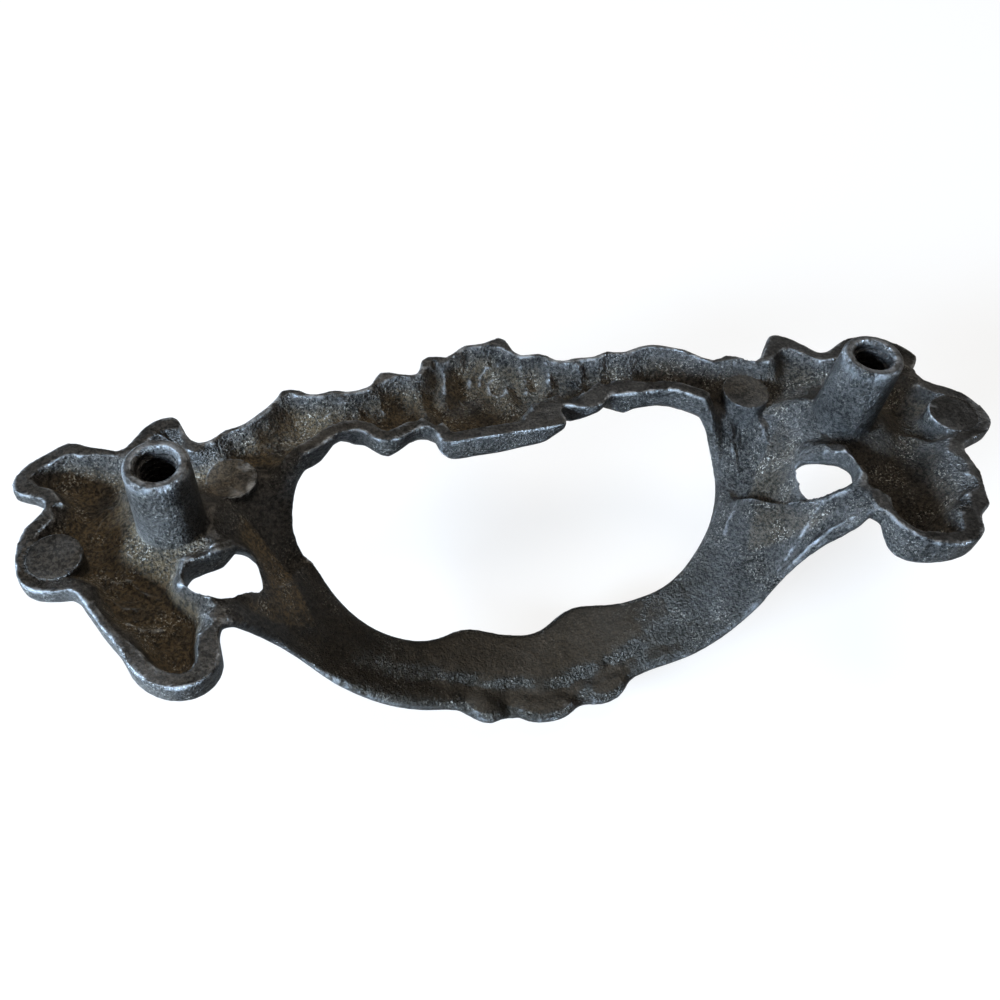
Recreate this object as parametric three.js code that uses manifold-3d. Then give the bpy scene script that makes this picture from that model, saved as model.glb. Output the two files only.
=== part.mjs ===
// Drawer pull with leaf ornament, cast in one piece, millimetres, +Z towards the drawer front.
// The origin lies midway between the ends of the two screw posts, on the plane of the drawer front.
import * as THREE from "three";
import { mergeVertices } from "three/addons/utils/BufferGeometryUtils.js";
import Module from "manifold-3d";

// Screw posts
const POST_SPACING = 76.2;
const POST_END_RADIUS = 3.25;
const POST_BASE_RADIUS = 3.5;
const POST_EDGE = 0.25;
const POST_FILLET = 0.8;
const BORE_RADIUS = 2;
const BORE_MOUTH = 0.32;
const BORE_DEPTH = 9.5;
const ROUND_SIDES = 28;

// Heights below the drawer front
const STANDOFF = 8.4;
const RIM_SLOPE = 0.085;
const BAIL_REACH = 27;
const BAIL_SHOULDER = 19;
const SHOULDER_X = 26;

// Section of the casting
const RIM_WIDTH = 1.7;
const TOP_RIM_WIDTH = 0.6;
const CURB_WIDTH = 0.9;
const LIP_WIDTH = 0.3;
const RIM_WALL_RUN = 2.1;
const TOP_WALL_RUN = 3.2;
const OPENING_WALL_RUN = 1.3;
const CURB_WALL_RUN = 1.2;
const LIP_WALL_RUN = 2.2;
const BOWL_POWER = 1.8;
const FOOT_SHARE = 0.6;
const LEFT_LEG_OPEN = 0.65;
const POCKET_DEPTH = 3.5;
const POST_FLOOR_DEPTH = 1.6;
const EDGE_WALL = 2.6;
const FLOOR_WALL = 1.5;
const CROWN = 3.2;
const CROWN_RUN = 5.5;
const BAIL_WALL = 1.5;
const LEFT_WINDOW_WALLS = [0.9, 3.3];
const RIGHT_WINDOW_WALLS = [1.9, 2.1];
const BEAD_WIDTH = 2.6;
const BEAD_DROP = 0.4;
const BEAD_SOFT = 0.65;
const OUTER_ROLL = { drop: 0.6, run: 1.2 };
const INNER_ROLL = { drop: 0.3, run: 0.9 };
const EDGE_THICKNESS = 0.75;
const CROWN_POWER = 2.2;
const VEIN_SHARE = 0.4;
const CARVED_RUN = 2.5;

// Stretches along X, along Y or away from an edge over which one form passes into the next
const PLATE_TO_BAIL = [24.5, 34.5];
const LEG_WIDENS = [19, 25];
const LEG_TOP_INNER = 1;
const LEG_TOP_OUTER = 7;
const LEG_DROP = 8.5;
const BAIL_ENDS = [27, 33];
const BAIL_TOP = [-6, -2];
const LIP_BEGINS = [22, 24];
const LIP_ENDS = [3, 5];
const SWAG_FOOT = [3, 4.5];
const SWAG_ENDS = [22, 26];
const SWAG_WALL_RUN = [1, 3];
const WINDOW_TURNS = [31.5, 34];
const WINDOW_FOOT = [-10, -8];
const WINDOW_WALL_RUN = [0.5, 2];
const POST_FLOOR_RUN = [4.3, 8.4];
const RIM_PLACE_RUN = [0.6, 1.5];
const TOP_RIM_BEGINS = [8, 10];
const TOP_RIM_ENDS = [31, 34.5];

// Round pads that the ejector pins left
const PAD_RADIUS = 2.75;
const PAD_ROOT = 0.3;
const PAD_CLEAR = 0.2;
const PAD_RISE = 1.3;
const PADS = [
  { x: -49.5, y: -2.6, drop: 0.15 },
  { x: -31.5, y: 5.7, drop: 1.6 },
  { x: 29.4, y: 6.7, drop: 1.6 },
  { x: 50, y: -3.3, drop: 0.15 },
];

// The carving is drawn for this half spacing, and the swag and the bail stretch when the posts move
const DRAWN_HALF = 38.1;

// Fineness of the faces
const EDGE_STEP = 1.12;
const INNER_STEP = 1.34;
const BULGE_ROW = 0.6;
const ROW_GAP = 0.54;
const ROW_CLEAR = 0.93;
const LINE_STEP = 1.2;
const LINE_GAP = 0.75;
const FIELD_GAP = 0.85;
const FIELD_RISE = 1.16;
const FIELD_SHAKE = 0.1;
const FIELD_HALF = 56;
const FIELD_DEPTH = 24;
const FAR_CORNER = 1000;

// Outline at the back rim, counterclockwise as the drawer sees it
const BAIL_LOWER_EDGE = [
  [-34.4, -14.4], [-32.5, -13.9], [-30.4, -13.5], [-28, -13.7], [-25.5, -14.7], [-22.5, -16.3],
  [-19.5, -17.5], [-16, -18.2], [-12.2, -18.4], [-10.8, -18.7], [-9.7, -19.9], [-8, -20.5],
  [-6.3, -20], [-5.2, -20], [-3.6, -21], [-1.3, -21.4], [1, -21], [2.6, -20], [3.9, -20.5],
  [5.4, -20.7], [7.3, -20.2], [8.9, -18.7], [11, -18.4], [16, -18.3], [20, -17.5], [24, -16],
  [27, -14.6], [30, -14.2], [32.4, -14.9], [33.9, -14.6],
];
const RIGHT_END = [
  [34.4, -16.9], [35.4, -18.9], [37, -20.4], [39, -21.1], [41.3, -20.9], [43, -19.8], [43.6, -18.3],
  [44.5, -17.4], [45.6, -16.9], [46.2, -15.2], [47.5, -12.2], [47.7, -9.4], [48.3, -8.1],
  [50.4, -7.4], [52.9, -6.3], [53.9, -4.5], [53.8, -2.4], [53.2, -0.6], [52, 0.9], [50.6, 1.8],
  [49.9, 3], [49.8, 4.6], [50.7, 5.5], [51.6, 6.9], [51.2, 8.1], [50.2, 9.7], [49, 11], [47.2, 11.7],
  [45, 11.7], [43.2, 11], [41.6, 10.1], [40.3, 9.9], [39.6, 10.6], [38.8, 12.1], [37.7, 13.4],
  [36.4, 14.3], [35.6, 14.2], [34.9, 13.3], [33.5, 11.5], [32.2, 10.3],
];
const SWAG_TOP = [
  [31.2, 10.5], [30, 11.3], [28.7, 11.9], [27.8, 11.5], [26.9, 11.3], [25.7, 12.3], [24.3, 13.9],
  [22.5, 15], [20.3, 15.8], [18.3, 15.5], [16.6, 15.1], [14.6, 15.7], [13.2, 15.1], [10.6, 15.3],
  [9.3, 15.1], [8, 15.6], [7.2, 16.8], [6.4, 17.1], [5, 17.1], [4, 17.4], [3.75, 18.8], [3.4, 20.5],
  [2.5, 21], [1.4, 20.5], [0, 20.2], [-1.6, 20.4], [-3, 19.6], [-4.5, 18.6], [-5.5, 19.1],
  [-6.6, 19.3], [-7.6, 18.5], [-8.1, 17], [-8.8, 16.4], [-10.2, 16.8], [-12.1, 17.6], [-13.1, 17.5],
  [-13.7, 16.3], [-14.4, 15.5], [-16.8, 15.1], [-18.7, 15.7], [-20.2, 15.4], [-21.6, 15.7],
  [-22.5, 16.6], [-24.3, 17], [-25.1, 15.8], [-26.6, 14.3], [-28.2, 13], [-29.9, 12], [-31.4, 11.7],
  [-32.6, 10.8], [-33.7, 10.3],
];
const LEFT_END = [
  [-34.9, 10.6], [-35.7, 12.4], [-36.4, 14.8], [-37.3, 15.2], [-39.3, 14.6], [-40.9, 12.9],
  [-42.6, 10.9], [-44.5, 11.6], [-46.2, 12.4], [-47.8, 13.3], [-49.3, 12.8], [-51, 11.7],
  [-52.8, 10.4], [-53.8, 8.4], [-53.5, 6.8], [-52, 5.9], [-50.4, 4.8], [-50.9, 3.4], [-52.3, 1.8],
  [-53, 0], [-53.2, -3.2], [-52.6, -5.4], [-51.3, -6.8], [-49.3, -7.3], [-47.8, -7.3], [-46.9, -9],
  [-46.1, -10.6], [-45.2, -12.5], [-43.8, -15], [-42.8, -17.6], [-41.3, -19.4], [-39.3, -20.5],
  [-37.2, -20.5], [-35.5, -19.4], [-34.7, -17.7], [-34.8, -15.6],
];

// The finger opening, clockwise from its left corner
const OPENING = [
  [-25.7, 2.2], [-25.2, 4], [-24, 5.6], [-22.6, 6.3], [-21, 7.2], [-19.2, 8.4], [-17.6, 8.6],
  [-16.5, 8], [-15.6, 6.6], [-14.4, 6], [-13, 6.1], [-11.4, 6.8], [-10, 7.3], [-9.1, 7.1], [-8.7, 6],
  [-8.7, 4.8], [-7.9, 4.3], [-4, 4.3], [0, 4.3], [4.6, 4.3], [6.3, 4.8], [6, 6.3], [6.2, 7.3],
  [7.4, 7.1], [8.8, 6.5], [10.3, 6.3], [11.4, 6.9], [12.4, 7.8], [14, 7.7], [17.5, 7.4], [20, 7.2],
  [21.6, 5.9], [23.2, 4.5], [24.6, 2.8], [25.3, 0.8], [25.1, -0.9], [24.3, -2.5], [22.3, -5],
  [19.9, -7.2], [18, -8.5], [15.5, -9.5], [13, -9.7], [10.5, -9.6], [8, -9], [5.8, -8.5], [4.2, -8.7],
  [2.8, -9.3], [1, -10.3], [-0.8, -10.7], [-2.5, -10.5], [-4.5, -10], [-6.5, -9.2], [-8, -8.9],
  [-9.5, -9.1], [-11.5, -9.8], [-13.5, -10.1], [-15.5, -9.9], [-18, -9], [-20, -7.6], [-21.5, -5.9],
  [-23, -3.4], [-24.1, -0.9], [-25.2, 0.4],
];
const LEFT_WINDOW = [
  [-30.4, -4.4], [-31.4, -3.4], [-32.5, -4.4], [-33.8, -5.4], [-35.6, -5.9], [-37, -6.4],
  [-37.5, -7.6], [-37, -9.4], [-35.6, -10.4], [-34.1, -10.9], [-32, -9.5], [-30.3, -8.1],
  [-30.2, -6.2],
];
const RIGHT_WINDOW = [
  [30.9, -4.4], [30.5, -6.4], [30.2, -8.2], [30.5, -9.2], [31.4, -9.7], [32.4, -10.3], [33.5, -10.4],
  [34.5, -9.6], [34.9, -8], [34.8, -6.6], [33.6, -6], [32.6, -5.3], [31.6, -4.3],
];

// How far the edge wall reaches down along the lower side of the swag: place along X, and height
const SWAG_WALL = [
  [-26, 2.4], [-22, 2.7], [-19.2, 1], [-17.2, 2.5], [-15.6, 2.1], [-14.3, 2.6], [-12, 1.8],
  [-10, 1.4], [-8.4, 1.9], [-7, 2.9], [-2, 3], [3, 2.5], [6, 0.9], [7.5, 2.6], [10, 1], [12.4, 0.9],
  [14.3, 3.3], [16.2, 2.5], [18.2, 2.3], [20.5, 2.6], [26, 2.4],
];

// Ridges on the back, with a vein on the front over each: points, height and half width
const RIDGES = [
  { points: [[-19.6, 14.6], [-19.2, 10.4]], height: 1.6, width: 0.9 },
  { points: [[-16.3, 14.4], [-15.6, 9.4]], height: 1.3, width: 0.9 },
  { points: [[-8.8, 15.6], [-8.6, 11]], height: 1.7, width: 1 },
  { points: [[-4.6, 17.8], [-6.2, 12.6]], height: 1.3, width: 0.9 },
  { points: [[1.8, 18.4], [2.2, 14.6], [1.4, 11.4]], height: 1, width: 1 },
  { points: [[7.6, 15], [5.6, 11.2]], height: 1.6, width: 1 },
  { points: [[10.4, 14.4], [9.6, 10.4]], height: 1.2, width: 0.8 },
  { points: [[13.8, 14.4], [12.4, 10.4]], height: 1.2, width: 0.8 },
  { points: [[17, 14.4], [16.6, 10]], height: 1.3, width: 0.9 },
  { points: [[26.9, 4.8], [27, 1.8], [26.7, -2.4], [27.3, -4.4]], height: 1.4, width: 0.75 },
  { points: [[30, 3.8], [29.8, 0.4], [29.3, -2.4], [28.9, -6]], height: 1.5, width: 0.85 },
  { points: [[32.4, 4.4], [35.2, 2.8]], height: 1.2, width: 0.8 },
  { points: [[-43.6, 5.9], [-45.7, 3.6], [-46.6, 1.4]], height: 0.7, width: 0.7 },
  { points: [[-42.8, 8.6], [-42, 5.4]], height: 1.5, width: 1.1 },
  { points: [[43.4, 8.8], [42.4, 5.4]], height: 1.5, width: 1.1 },
  { points: [[45.6, -4.4], [45.8, -7]], height: 1.4, width: 1 },
];

// Grooves on the back: one sets off the bead along the bail's lower edge, short ones part its knobs
const BACK_GROOVES = [
  {
    points: [
      [-34.2, -10.4], [-30.4, -10.8], [-26.7, -11.6], [-21.9, -13.8], [-16.1, -15], [-10.8, -15.9],
      [-6.2, -17.2], [-2.1, -17.9], [0.6, -18.2], [3.1, -17.6], [7.7, -16.8], [11, -16], [15.5, -16],
      [20.6, -15], [25.7, -12.8], [28.4, -10.9], [30.2, -10.6],
    ],
    depth: 0.8,
    width: 0.85,
  },
  { points: [[-10.8, -19], [-10.2, -16.8]], depth: 0.6, width: 0.6 },
  { points: [[-5.8, -20.4], [-5.4, -18.2]], depth: 0.7, width: 0.6 },
  { points: [[2.7, -20.4], [2.7, -18.4]], depth: 0.7, width: 0.6 },
  { points: [[9.2, -19], [8.6, -17.2]], depth: 0.7, width: 0.6 },
];

// Grooves between the leaf lobes on the front, drawn for the right half and mirrored
const FRONT_GROOVES = [
  { points: [[39, 2.5], [44, 5], [49.6, 4.6]], depth: 1.4, width: 0.9 },
  { points: [[38.4, 3.5], [39.6, 7], [40.4, 10]], depth: 1.3, width: 0.8 },
  { points: [[35.6, 3], [34, 6.6], [32.6, 10.2]], depth: 1.3, width: 0.8 },
  { points: [[40, -3], [44, -6.6], [48, -8]], depth: 1.4, width: 0.9 },
  { points: [[37.4, -4.4], [36.6, -9], [35.2, -13.6]], depth: 1.2, width: 0.8 },
  { points: [[40, -6], [40.6, -11], [39.4, -17.6]], depth: 0.9, width: 0.7 },
  { points: [[42, 0], [47, -1.2], [51.6, -2.6]], depth: 0.9, width: 0.7 },
  { points: [[2, 6.4], [3, 11.5], [3.9, 17]], depth: 1.3, width: 0.8 },
  { points: [[4.6, 6.8], [6.4, 11], [8.2, 15.2]], depth: 1.2, width: 0.8 },
  { points: [[5, -10.4], [4.2, -15], [2.7, -20]], depth: 1, width: 0.8 },
  { points: [[12, -11.6], [11, -15], [9.2, -18.6]], depth: 1, width: 0.8 },
  { points: [[27.6, 2], [27.4, -4], [24.4, -9.4]], depth: 1, width: 0.9 },
];

// Height of the edge wall where it differs from the usual: place, reach and height
const WALL_PLACES = [
  { x: -52.4, y: 6, reach: 2.6, wall: 1.1 },
  { x: -50.5, y: -7, reach: 3.4, wall: 1.7 },
  { x: 50.5, y: -7, reach: 3.4, wall: 1.7 },
  { x: -38.4, y: -20.4, reach: 4.4, wall: 2.4 },
  { x: 35, y: -18, reach: 4.2, wall: 4.3 },
  { x: -34.4, y: -14, reach: 2.6, wall: 0.9 },
  { x: 34, y: -14.4, reach: 2.4, wall: 1.5 },
];

// Places where the hollow is deeper or, with a minus sign, shallower than the usual
const DEEP_PLACES = [
  { x: 39.4, y: -16, reach: 3.6, deeper: 1.5 },
  { x: -39.4, y: -16, reach: 3.6, deeper: 1.5 },
  { x: -50.4, y: 8.4, reach: 2.4, deeper: 0.9 },
  { x: 50, y: 1, reach: 2, deeper: 0.8 },
  { x: -50, y: 1, reach: 2, deeper: 0.8 },
  { x: -30.6, y: 4.8, reach: 5, deeper: -1.7 },
  { x: -27.8, y: -2, reach: 4.4, deeper: -2 },
  { x: 27.8, y: -1.5, reach: 4, deeper: -1.1 },
];

// Places where the flat back rim is wider or narrower than the usual
const RIM_PLACES = [
  { x: 4.4, y: 7, along: 3, across: 2.6, width: 3.6 },
  { x: 12.4, y: 9, along: 4.5, across: 2.4, width: 2.7 },
  { x: 36.6, y: 13, along: 2.4, across: 1.8, width: 2 },
  { x: -36.4, y: 13.4, along: 2, across: 2, width: 2.4 },
  { x: 43.6, y: -17.4, along: 2.6, across: 2.6, width: 2.7 },
  { x: 46.8, y: -12.4, along: 1.8, across: 3.4, width: 2.4 },
  { x: 35, y: -17.4, along: 1.8, across: 2.8, width: 0.9 },
  { x: -36.2, y: -17.6, along: 1.8, across: 2.4, width: 2.2 },
  { x: -45.6, y: -12.8, along: 2.2, across: 4.6, width: 0.8 },
  { x: -43.6, y: 11.6, along: 1.8, across: 1.4, width: 0.9 },
  { x: -24.2, y: 16.4, along: 1.8, across: 1.4, width: 1.7 },
  { x: -12.7, y: 17, along: 1.5, across: 1.3, width: 1.6 },
  { x: -6.4, y: 18.7, along: 1.5, across: 1.4, width: 1.6 },
  { x: 2.4, y: 20.2, along: 1.8, across: 1.6, width: 1.9 },
  { x: 33.2, y: -4.6, along: 2.2, across: 1.8, width: 1.7 },
];

// Places where the wall between the rim and the hollow's floor leans more
const LEANING_WALLS = [
  { x: -47.5, y: 10, reach: 3.6, run: 3.4 },
  { x: 46.6, y: -7.4, reach: 3.4, run: 2.8 },
  { x: 46.5, y: 8, reach: 4, run: 3 },
  { x: 35.5, y: 9.5, reach: 3, run: 3 },
];

// Solid places that the hollow leaves out: ends of a line and its half width
const SOLID_BARS = [
  { from: [30.6, -11.4], to: [34.4, -13], width: 2.1 },
  { from: [-30.6, -11.2], to: [-34.6, -12.8], width: 2.1 },
];
const CRESCENT_LOWER = [30.2, -8.8];
const CRESCENT_UPPER = [24.9, -0.6];
const CRESCENT_RUN = 0.9;
const CRESCENT_TOP = [0, 3];
const BAR_SOFT = 0.7;

const wasm = await Module();
wasm.setup();

const { clamp, lerp, smoothstep } = THREE.MathUtils;

// 0 before a stretch, 1 after it.
function fade(value, [from, to]) {
  return smoothstep(value, from, to);
}

function drawnToPlace(x) {
  const shift = POST_SPACING / 2 - DRAWN_HALF;
  return x + shift * clamp(x / PLATE_TO_BAIL[0], -1, 1);
}

// A smooth closed curve through hand-placed points, divided into even steps.
function closedLoop(points) {
  const curve = new THREE.CatmullRomCurve3(
    points.map(([x, y]) => new THREE.Vector3(x, y, 0)),
    true,
    "centripetal",
  );
  const count = Math.round(curve.getLength() / EDGE_STEP);
  return curve.getSpacedPoints(count).slice(0, count).map((p) => [p.x, p.y]);
}

function distanceToSegment(x, y, a, b) {
  const dx = b[0] - a[0];
  const dy = b[1] - a[1];
  const t = clamp(((x - a[0]) * dx + (y - a[1]) * dy) / (dx * dx + dy * dy), 0, 1);
  return Math.hypot(x - a[0] - t * dx, y - a[1] - t * dy);
}

function distanceToLine(x, y, points, closed) {
  let best = Infinity;
  const count = closed ? points.length : points.length - 1;
  for (let i = 0; i < count; i++) {
    best = Math.min(best, distanceToSegment(x, y, points[i], points[(i + 1) % points.length]));
  }
  return best;
}

function isInside(x, y, loop) {
  let inside = false;
  for (let i = 0, j = loop.length - 1; i < loop.length; j = i++) {
    const [ax, ay] = loop[i];
    const [bx, by] = loop[j];
    if (ay > y !== by > y && x < ((bx - ax) * (y - ay)) / (by - ay) + ax) inside = !inside;
  }
  return inside;
}

const outerLoop = closedLoop([...BAIL_LOWER_EDGE, ...RIGHT_END, ...SWAG_TOP, ...LEFT_END]);
const openingLoop = closedLoop(OPENING);
const leftWindowLoop = closedLoop(LEFT_WINDOW);
const rightWindowLoop = closedLoop(RIGHT_WINDOW);
const holeLoops = [openingLoop, leftWindowLoop, rightWindowLoop];
const allLoops = [outerLoop, ...holeLoops];
const loopSides = [
  [outerLoop, "outer"],
  [openingLoop, "opening"],
  [leftWindowLoop, "window"],
  [rightWindowLoop, "window"],
];

// Distances from a point of the plan to the outline, the opening and the two small windows.
function edgeDistances(x, y) {
  const outer = distanceToLine(x, y, outerLoop, true);
  const opening = distanceToLine(x, y, openingLoop, true);
  const window = Math.min(
    distanceToLine(x, y, leftWindowLoop, true),
    distanceToLine(x, y, rightWindowLoop, true),
  );
  return { outer, opening, window, nearest: Math.min(outer, opening, window) };
}

// Level of the back edge: the leaf plates lie near one plane, and the bail bows away from the drawer.
function edgeLevel(x, y) {
  const side = Math.abs(x);
  const plate = -STANDOFF - RIM_SLOPE * y;
  const bow = (Math.min(side, SHOULDER_X) / SHOULDER_X) ** 2;
  const bail = lerp(-BAIL_REACH, -BAIL_SHOULDER, bow);
  const legTop = lerp(LEG_TOP_INNER, LEG_TOP_OUTER, fade(side, LEG_WIDENS));
  const down = smoothstep(legTop - y, 0, LEG_DROP);
  const inward = 1 - fade(side, PLATE_TO_BAIL);
  return lerp(plate, bail, down * inward);
}

// 0 on the bail and 1 on the plates and legs, with the crescent ledge between them.
function besideCrescent(x, y) {
  const [x0, y0] = CRESCENT_LOWER;
  const dx = CRESCENT_UPPER[0] - x0;
  const dy = CRESCENT_UPPER[1] - y0;
  const off = ((Math.abs(x) - x0) * dy - (y - y0) * dx) / Math.hypot(dx, dy);
  return Math.max(smoothstep(off, 0, CRESCENT_RUN), fade(y, CRESCENT_TOP));
}

// The upper edges of the two crescent ledges, and their feet on the legs.
function crescentLines() {
  const dx = CRESCENT_UPPER[0] - CRESCENT_LOWER[0];
  const dy = CRESCENT_UPPER[1] - CRESCENT_LOWER[1];
  const length = Math.hypot(dx, dy);
  const lines = [];
  for (const side of [-1, 1]) {
    for (const off of [0, CRESCENT_RUN]) {
      const shift = ([x, y]) => [side * (x + (off * dy) / length), y - (off * dx) / length];
      lines.push([shift(CRESCENT_LOWER), shift(CRESCENT_UPPER)]);
    }
  }
  return lines;
}

// 1 at the edge of the opening on the two legs, where only a thin soft lip bounds the hollow.
function lipShare(x, y) {
  return fade(Math.abs(x), LIP_BEGINS) * (1 - fade(y, LIP_ENDS));
}

function rimAt(x, y, usual) {
  let width = usual;
  for (const place of RIM_PLACES) {
    const near = Math.hypot((x - place.x) / place.along, (y - place.y) / place.across);
    width = lerp(place.width, width, fade(near, RIM_PLACE_RUN));
  }
  return width;
}

// Widths of the flat back rim along the outline, the opening and the small windows.
function rimWidths(x, y) {
  const top = fade(y, TOP_RIM_BEGINS) * (1 - fade(Math.abs(x), TOP_RIM_ENDS));
  return {
    outer: rimAt(x, y, lerp(RIM_WIDTH, TOP_RIM_WIDTH, top)),
    opening: rimAt(x, y, lerp(RIM_WIDTH, LIP_WIDTH, lipShare(x, y))),
    window: rimAt(x, y, CURB_WIDTH),
  };
}

// Stretches over which the walls inside those rims reach the hollow's floor.
function wallRuns(x, y) {
  const top = fade(y, TOP_RIM_BEGINS) * (1 - fade(Math.abs(x), TOP_RIM_ENDS));
  let outer = lerp(RIM_WALL_RUN, TOP_WALL_RUN, top);
  for (const place of LEANING_WALLS) outer = lerp(outer, place.run, nearness(x, y, place));
  return {
    outer,
    opening: lerp(OPENING_WALL_RUN, LIP_WALL_RUN, lipShare(x, y)),
    window: CURB_WALL_RUN,
  };
}

// A rounded ridge or groove that follows a line of points.
function roundedLine(x, y, points, width) {
  const off = distanceToLine(x, y, points, false) / width;
  return Math.exp(-off * off);
}

function ridgeHeight(x, y) {
  const heights = RIDGES.map((ridge) => ridge.height * roundedLine(x, y, ridge.points, ridge.width));
  return Math.max(...heights);
}

function grooveDepth(x, y, grooves) {
  return Math.max(...grooves.map((line) => line.depth * roundedLine(x, y, line.points, line.width)));
}

function nearness(x, y, place) {
  return Math.exp(-((x - place.x) ** 2 + (y - place.y) ** 2) / place.reach ** 2);
}

function hollowDepth(x, y) {
  const side = Math.abs(x);
  const fromPost = Math.hypot(side - DRAWN_HALF, y);
  let depth = lerp(POST_FLOOR_DEPTH, POCKET_DEPTH, fade(fromPost, POST_FLOOR_RUN));
  for (const place of DEEP_PLACES) depth += place.deeper * nearness(x, y, place);
  for (const bar of SOLID_BARS) {
    const off = distanceToSegment(x, y, bar.from, bar.to);
    depth *= smoothstep(off, bar.width - BAR_SOFT, bar.width + BAR_SOFT);
  }
  return depth * besideCrescent(x, y);
}

// How much of the hollow's depth is there: 0 on a rim and 1 beyond its wall, which bends like a bowl's.
function bowlShare(distance, rim, run) {
  return 1 - (1 - clamp((distance - rim) / run, 0, 1)) ** BOWL_POWER;
}

function hollowShare(x, y, distances) {
  const rims = rimWidths(x, y);
  const runs = wallRuns(x, y);
  const open = x < 0 ? LEFT_LEG_OPEN * lipShare(x, y) : 0;
  const opening = Math.max(bowlShare(distances.opening, rims.opening, runs.opening), open);
  const outer = bowlShare(distances.outer, rims.outer, runs.outer);
  return outer * opening * bowlShare(distances.window, rims.window, runs.window);
}

function bailShare(x, y) {
  const inBail = (1 - fade(Math.abs(x), BAIL_ENDS)) * (1 - fade(y, BAIL_TOP));
  return inBail * (1 - besideCrescent(x, y));
}

// How far an edge rolls over, from its full drop at the edge to nothing at the end of its run.
function edgeRoll(distance, roll) {
  return roll.drop * (1 - Math.min(distance / roll.run, 1)) ** 2;
}

function padTop(pad) {
  return edgeLevel(pad.x, pad.y) - pad.drop;
}

// Nothing beside a pad rises above its top until the ground has left it.
function clearOfPads(x, y, level) {
  let kept = level;
  for (const pad of PADS) {
    const off = Math.hypot(x - pad.x, y - pad.y) - PAD_RADIUS;
    const ground = lerp(padTop(pad), level, fade(off, [PAD_CLEAR, PAD_CLEAR + PAD_RISE]));
    kept = Math.min(kept, ground);
  }
  return kept;
}

function backLevel(x, y) {
  const distances = edgeDistances(x, y);
  const share = hollowShare(x, y, distances);
  const hollow = Math.max(hollowDepth(x, y) - ridgeHeight(x, y), 0) * share;
  const bead = BEAD_DROP * (1 - fade(distances.outer, [BEAD_WIDTH - BEAD_SOFT, BEAD_WIDTH + BEAD_SOFT]));
  const rolls = edgeRoll(distances.outer, OUTER_ROLL) + edgeRoll(distances.opening, INNER_ROLL);
  const drawn = grooveDepth(x, y, BACK_GROOVES) + (bead + rolls) * bailShare(x, y);
  return clearOfPads(x, y, edgeLevel(x, y) - hollow - drawn);
}

function swagWall(x) {
  for (let i = 1; i < SWAG_WALL.length; i++) {
    const [x1, wall1] = SWAG_WALL[i];
    if (x < x1) {
      const [x0, wall0] = SWAG_WALL[i - 1];
      return lerp(wall0, wall1, smoothstep(Math.max(x, x0), x0, x1));
    }
  }
  return SWAG_WALL[SWAG_WALL.length - 1][1];
}

// Height of the wall between the back edge and the front face.
function edgeWall(x, y, distances) {
  const side = Math.abs(x);
  let wall = EDGE_WALL;
  for (const place of WALL_PLACES) wall = lerp(wall, place.wall, nearness(x, y, place));
  const underSwag = fade(y, SWAG_FOOT) * (1 - fade(side, SWAG_ENDS));
  wall = lerp(wall, swagWall(x), underSwag * (1 - fade(distances.opening, SWAG_WALL_RUN)));
  const windowWalls = x < 0 ? LEFT_WINDOW_WALLS : RIGHT_WINDOW_WALLS;
  const windowWall = lerp(...windowWalls, fade(side, WINDOW_TURNS));
  wall = lerp(wall, windowWall, (1 - fade(distances.window, WINDOW_WALL_RUN)) * fade(y, WINDOW_FOOT));
  return lerp(wall, BAIL_WALL, bailShare(x, y));
}

function frontLevel(x, y, back) {
  const distances = edgeDistances(x, y);
  const wall = edgeWall(x, y, distances);
  const rise = 1 - (1 - Math.min(distances.nearest / CROWN_RUN, 1)) ** CROWN_POWER;
  const crown = Math.max(CROWN, hollowDepth(x, y) + FLOOR_WALL - wall) * rise;
  const drawn = VEIN_SHARE * ridgeHeight(x, y) + grooveDepth(Math.abs(x), y, FRONT_GROOVES);
  const carved = drawn * smoothstep(distances.nearest, 0, CARVED_RUN);
  const thinnest = lerp(EDGE_THICKNESS, FLOOR_WALL, Math.min(distances.nearest, 1));
  return Math.min(edgeLevel(x, y) - wall - crown + carved, back - thinnest);
}

// Points that lie inside the casting at a distance from every edge, which may differ along the edge.
function insetRow(loop, insetAt, isHole) {
  const row = [];
  loop.forEach((point, i) => {
    const inset = insetAt(...point);
    const before = loop[(i + loop.length - 1) % loop.length];
    const after = loop[(i + 1) % loop.length];
    const length = Math.hypot(after[0] - before[0], after[1] - before[1]);
    const x = point[0] - ((after[1] - before[1]) / length) * inset;
    const y = point[1] + ((after[0] - before[0]) / length) * inset;
    const isClear = edgeDistances(x, y).nearest > inset * ROW_CLEAR;
    if (isClear && isInside(x, y, loop) !== isHole) row.push([x, y]);
  });
  return row;
}

function isInCasting(x, y) {
  return isInside(x, y, outerLoop) && !holeLoops.some((loop) => isInside(x, y, loop));
}

// Even steps along a line of points, where they lie in the casting and clear of its edges.
function pointsAlong(line) {
  const placed = [];
  for (let i = 1; i < line.length; i++) {
    const [x0, y0] = line[i - 1];
    const [x1, y1] = line[i];
    const steps = Math.ceil(Math.hypot(x1 - x0, y1 - y0) / LINE_STEP);
    for (let step = 0; step <= steps; step++) {
      const place = [lerp(x0, x1, step / steps), lerp(y0, y1, step / steps)];
      if (isInCasting(...place) && edgeDistances(...place).nearest > ROW_GAP) placed.push(place);
    }
  }
  return placed;
}

function addSpaced(points, candidates, spacing) {
  for (const [x, y] of candidates) {
    if (points.every(([px, py]) => Math.hypot(px - x, py - y) > spacing)) points.push([x, y]);
  }
}

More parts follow.
